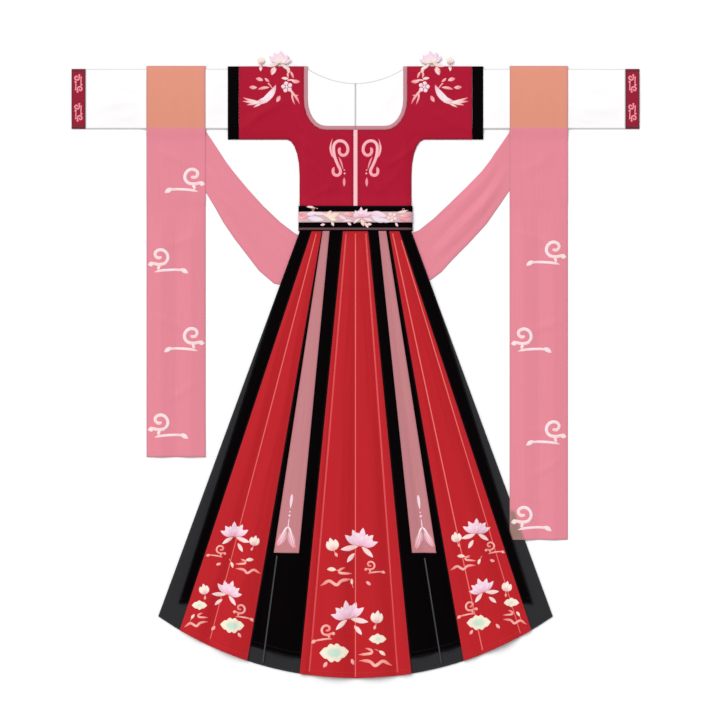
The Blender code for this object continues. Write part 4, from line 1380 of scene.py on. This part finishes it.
SHOULDER_STROKES = (
    (-154, 664, -58, [(16, 10), (26, -24)], 5.4, "rose", (0.1, 0.4)),
    (-148, 654, -104, [(12, 30), (16, 10)], 4, "rose", (0.1, 0.4)),
    (-146, 650, -20, [(13, 40)], 3.6, "rose", (0.1, 0.4)),
    (-160, 684, 20, [(12, -30), (8, 20)], 3.6, "pale", (0.2, 0.3)),
    (-206, 678, -30, [(10, -30), (10, 40)], 2.8, "rose", (0.1, 0.4)),
)


def embroider_shoulders():
    for flip, word in MIRRORED:
        place = Place(0, 0, flip=-flip)
        work = Work("jacket_front_" + word)
        blades(work, place, SHOULDER_BLADES)
        strokes(work, place, SHOULDER_STROKES)
        flower(work, within(place, -161, 669, 12, 1.3), "white")
        work.finish("embroidery_shoulder_" + word)
        standing = Work("jacket_front_" + word, level=SHOULDER_LEVEL)
        lotus(standing, within(place, -177, 725, 4, 0.78, -1), "faint")
        bud(standing, within(place, -222, 731, 6, 0.6))
        standing.finish("applique_" + word)


# Stitching: lens-shaped loops of thread in rows on the cloth


STITCH_PITCH = 3.6
STITCH_LENGTH = 2.6
STITCH_STEP = 8  # between the points of a line that stitches follow
THREAD = 0.62

# One stitch: points along, across and up from its middle, and its faces
STITCH_POINTS = [(-0.5, 0, -0.06)]
STITCH_POINTS += [(along, across, up) for along in (-0.25, 0.25)
                  for across, up in ((0.5, 0.1), (0, 0.36), (-0.5, 0.1), (0, -0.12))]
STITCH_POINTS += [(0.5, 0, -0.06)]
STITCH_FACES = [(0, 1 + i, 1 + (i + 1) % 4) for i in range(4)]
STITCH_FACES += [(9, 5 + (i + 1) % 4, 5 + i) for i in range(4)]
STITCH_FACES += [(1 + (i + 1) % 4, 1 + i, 5 + i, 5 + (i + 1) % 4) for i in range(4)]


def stitch_rows(name, node, colour, lines):
    """Running stitches along plan lines on a cloth, joined into one piece."""
    middles, ways = [], []
    for line in lines:
        length = length_of(line)
        count = max(1, round(length / STITCH_PITCH))
        share = (np.arange(count) + 0.5) / count
        near = 0.4 / length
        middles.append(along_line(line, share))
        ways.append(unit(along_line(line, share + near) - along_line(line, share - near)))
    middle, way = np.concatenate(middles), np.concatenate(ways)
    across = leftward(way)
    ground = Work(node).ground
    ends = [ground.heights(middle + way * STITCH_LENGTH * share) for share in (-0.5, 0, 0.5)]
    points, faces = [], []
    for along, sideways, up in STITCH_POINTS:
        plan = middle + way * along * STITCH_LENGTH + across * sideways * THREAD
        end = ends[0] if along < 0 else ends[2]
        points.append(np.column_stack([plan, ends[1] + (end - ends[1]) * 2 * abs(along) + up]))
    count = len(STITCH_POINTS)
    points = np.stack(points, axis=1).reshape(-1, 3)
    for i in range(len(middle)):
        faces += [tuple(corner + i * count for corner in face) for face in STITCH_FACES]
    tint = np.tile(linear(colour), (len(points), 1))
    weave = np.tile(np.array(STITCH_POINTS) * STITCH_LENGTH, (len(middle), 1))
    piece = add_mesh("stitches_" + name, points, faces, materials["floss"], 60, tint=tint, weave=weave)


def moved_in(line, inset, turn, trim=0):
    """A line moved sideways by inset, to its left for turn 1 and to its right for -1, with its ends cut."""
    length = length_of(line)
    count = max(2, round(length / STITCH_STEP))
    share = np.linspace(trim / length, 1 - trim / length, count + 1)
    places = along_line(line, share)
    return places + turn * inset * leftward(unit(np.gradient(places, axis=0)))


SIDE_TURNS = (("top", -1), ("bottom", 1), ("left", 1), ("right", -1))


def side_lines(node, wanted, inset, trim=2):
    """Lines just inside the named sides of a four-sided cloth."""
    turns = zip(four_sides(cloths[node].outline()), SIDE_TURNS)
    return [moved_in(side, inset, turn, trim) for side, (word, turn) in turns if word in wanted]


def ring_line(node, inset):
    """A closed line just inside the outline of a shaped cloth."""
    loop = resampled(cloths[node].outline(), STITCH_STEP)
    moved = loop + inset * inward(loop)
    return np.concatenate([moved, moved[:1]])


def sleeve_lines(node, inset):
    low, high = cloths[node].low_corner, cloths[node].high_corner
    rows = [[(low[0] + 2, y), (high[0] - 2, y)] for y in (low[1] + inset, high[1] - inset)]
    ends = [[(x, low[1] + 4), (x, high[1] - 4)] for x in (low[0] + inset, high[0] - inset)]
    return [np.array(line) for line in rows + ends]


OPEN_SIDES = ("left", "right", "bottom")
LONG_SIDES = ("top", "bottom")


def stitch_cloths():
    for name, colour in SKIRT_GORES.items():
        node = "skirt_front_" + name
        lines = side_lines(node, OPEN_SIDES, 2.2) + side_lines(node, ("bottom",), 12, 6)
        stitch_rows(name, node, "edge_pink" if colour == "red" else "thread_black", lines)
    for side in SIDES:
        jacket, shirt = "jacket_front_" + side, "shirt_front_" + side
        sleeve, ribbon = "shirt_sleeve_" + side, "ribbon_" + side
        stitch_rows(jacket, jacket, "thread_crimson", [ring_line(jacket, 2.4), ring_line(jacket, 5.4)])
        stitch_rows(shirt, shirt, "thread_grey", [ring_line(shirt, 1.8)])
        stitch_rows(sleeve, sleeve, "thread_grey", sleeve_lines(sleeve, 2.6))
        stitch_rows(ribbon, ribbon, "thread_pink", side_lines(ribbon, OPEN_SIDES, 2))
    stitch_rows("belt", "belt_front", "thread_black", side_lines("belt_front", LONG_SIDES, 2.2, 5))
    stitch_rows("belt_band", "belt_band", "band_pink", side_lines("belt_band", LONG_SIDES, 1.4, 5))
    lines = side_lines("underskirt_front", OPEN_SIDES, 3)
    stitch_rows("underskirt", "underskirt_front", "thread_charcoal", lines)


TRIM = "belt_piping"  # a sewn-on line, too narrow for a sheet


def declare_sheets():
    for node, cloth in cloths.items():
        if node == TRIM:
            continue


# Camera, floor and light


def make_camera():
    data = bpy.data.cameras.new("camera")
    data.sensor_width = SENSOR
    data.lens = SENSOR * CAMERA_HEIGHT / VIEW_WIDTH
    data.clip_end = VIEW_REACH
    camera = add_object("camera", data)
    camera.location = (VIEW_MIDDLE[0] * MM, VIEW_MIDDLE[1] * MM, CAMERA_HEIGHT * MM)
    bpy.context.scene.camera = camera


FLOOR_HALF = 6000
FLOOR_DROP = 0.3


def make_floor():
    turns = ((-1, -1), (1, -1), (1, 1), (-1, 1))
    corners = np.array([(x * FLOOR_HALF, y * FLOOR_HALF, -FLOOR_DROP) for x, y in turns])
    mesh = bpy.data.meshes.new("floor")
    mesh.from_pydata((corners * MM).tolist(), [], [(0, 1, 2, 3)])
    mesh.materials.append(floor_material())
    add_object("floor", mesh)


SUN_HEIGHT = 54  # degrees above the surface
SUN_FROM = 125  # degrees from the right, counter-clockwise as seen from above
SUN_SOFTNESS = 42
SUN_STRENGTH = 2.15
WORLD_LIGHT = 0.50


def make_lights():
    data = bpy.data.lights.new("key", "SUN")
    data.energy = SUN_STRENGTH
    data.angle = math.radians(SUN_SOFTNESS)
    lamp = add_object("key", data)
    high, turn = math.radians(SUN_HEIGHT), math.radians(SUN_FROM)
    way = Vector((math.cos(high) * math.cos(turn), math.cos(high) * math.sin(turn), math.sin(high)))
    lamp.location = way * 3
    lamp.rotation_euler = (-way).to_track_quat("-Z", "Y").to_euler()
    world = bpy.data.worlds.new("studio")
    world.use_nodes = True
    world.node_tree.nodes["Background"].inputs["Color"].default_value = (1, 1, 1, 1)
    world.node_tree.nodes["Background"].inputs["Strength"].default_value = WORLD_LIGHT
    bpy.context.scene.world = world
    bpy.context.scene.view_settings.view_transform = "Standard"


make_camera()
make_floor()
make_lights()
make_cloths()
embroider_skirt()
stitch_pleats()
embroider_chest()
embroider_scarf()
embroider_ribbons()
embroider_cuffs()
embroider_belt()
embroider_shoulders()
stitch_cloths()
declare_sheets()
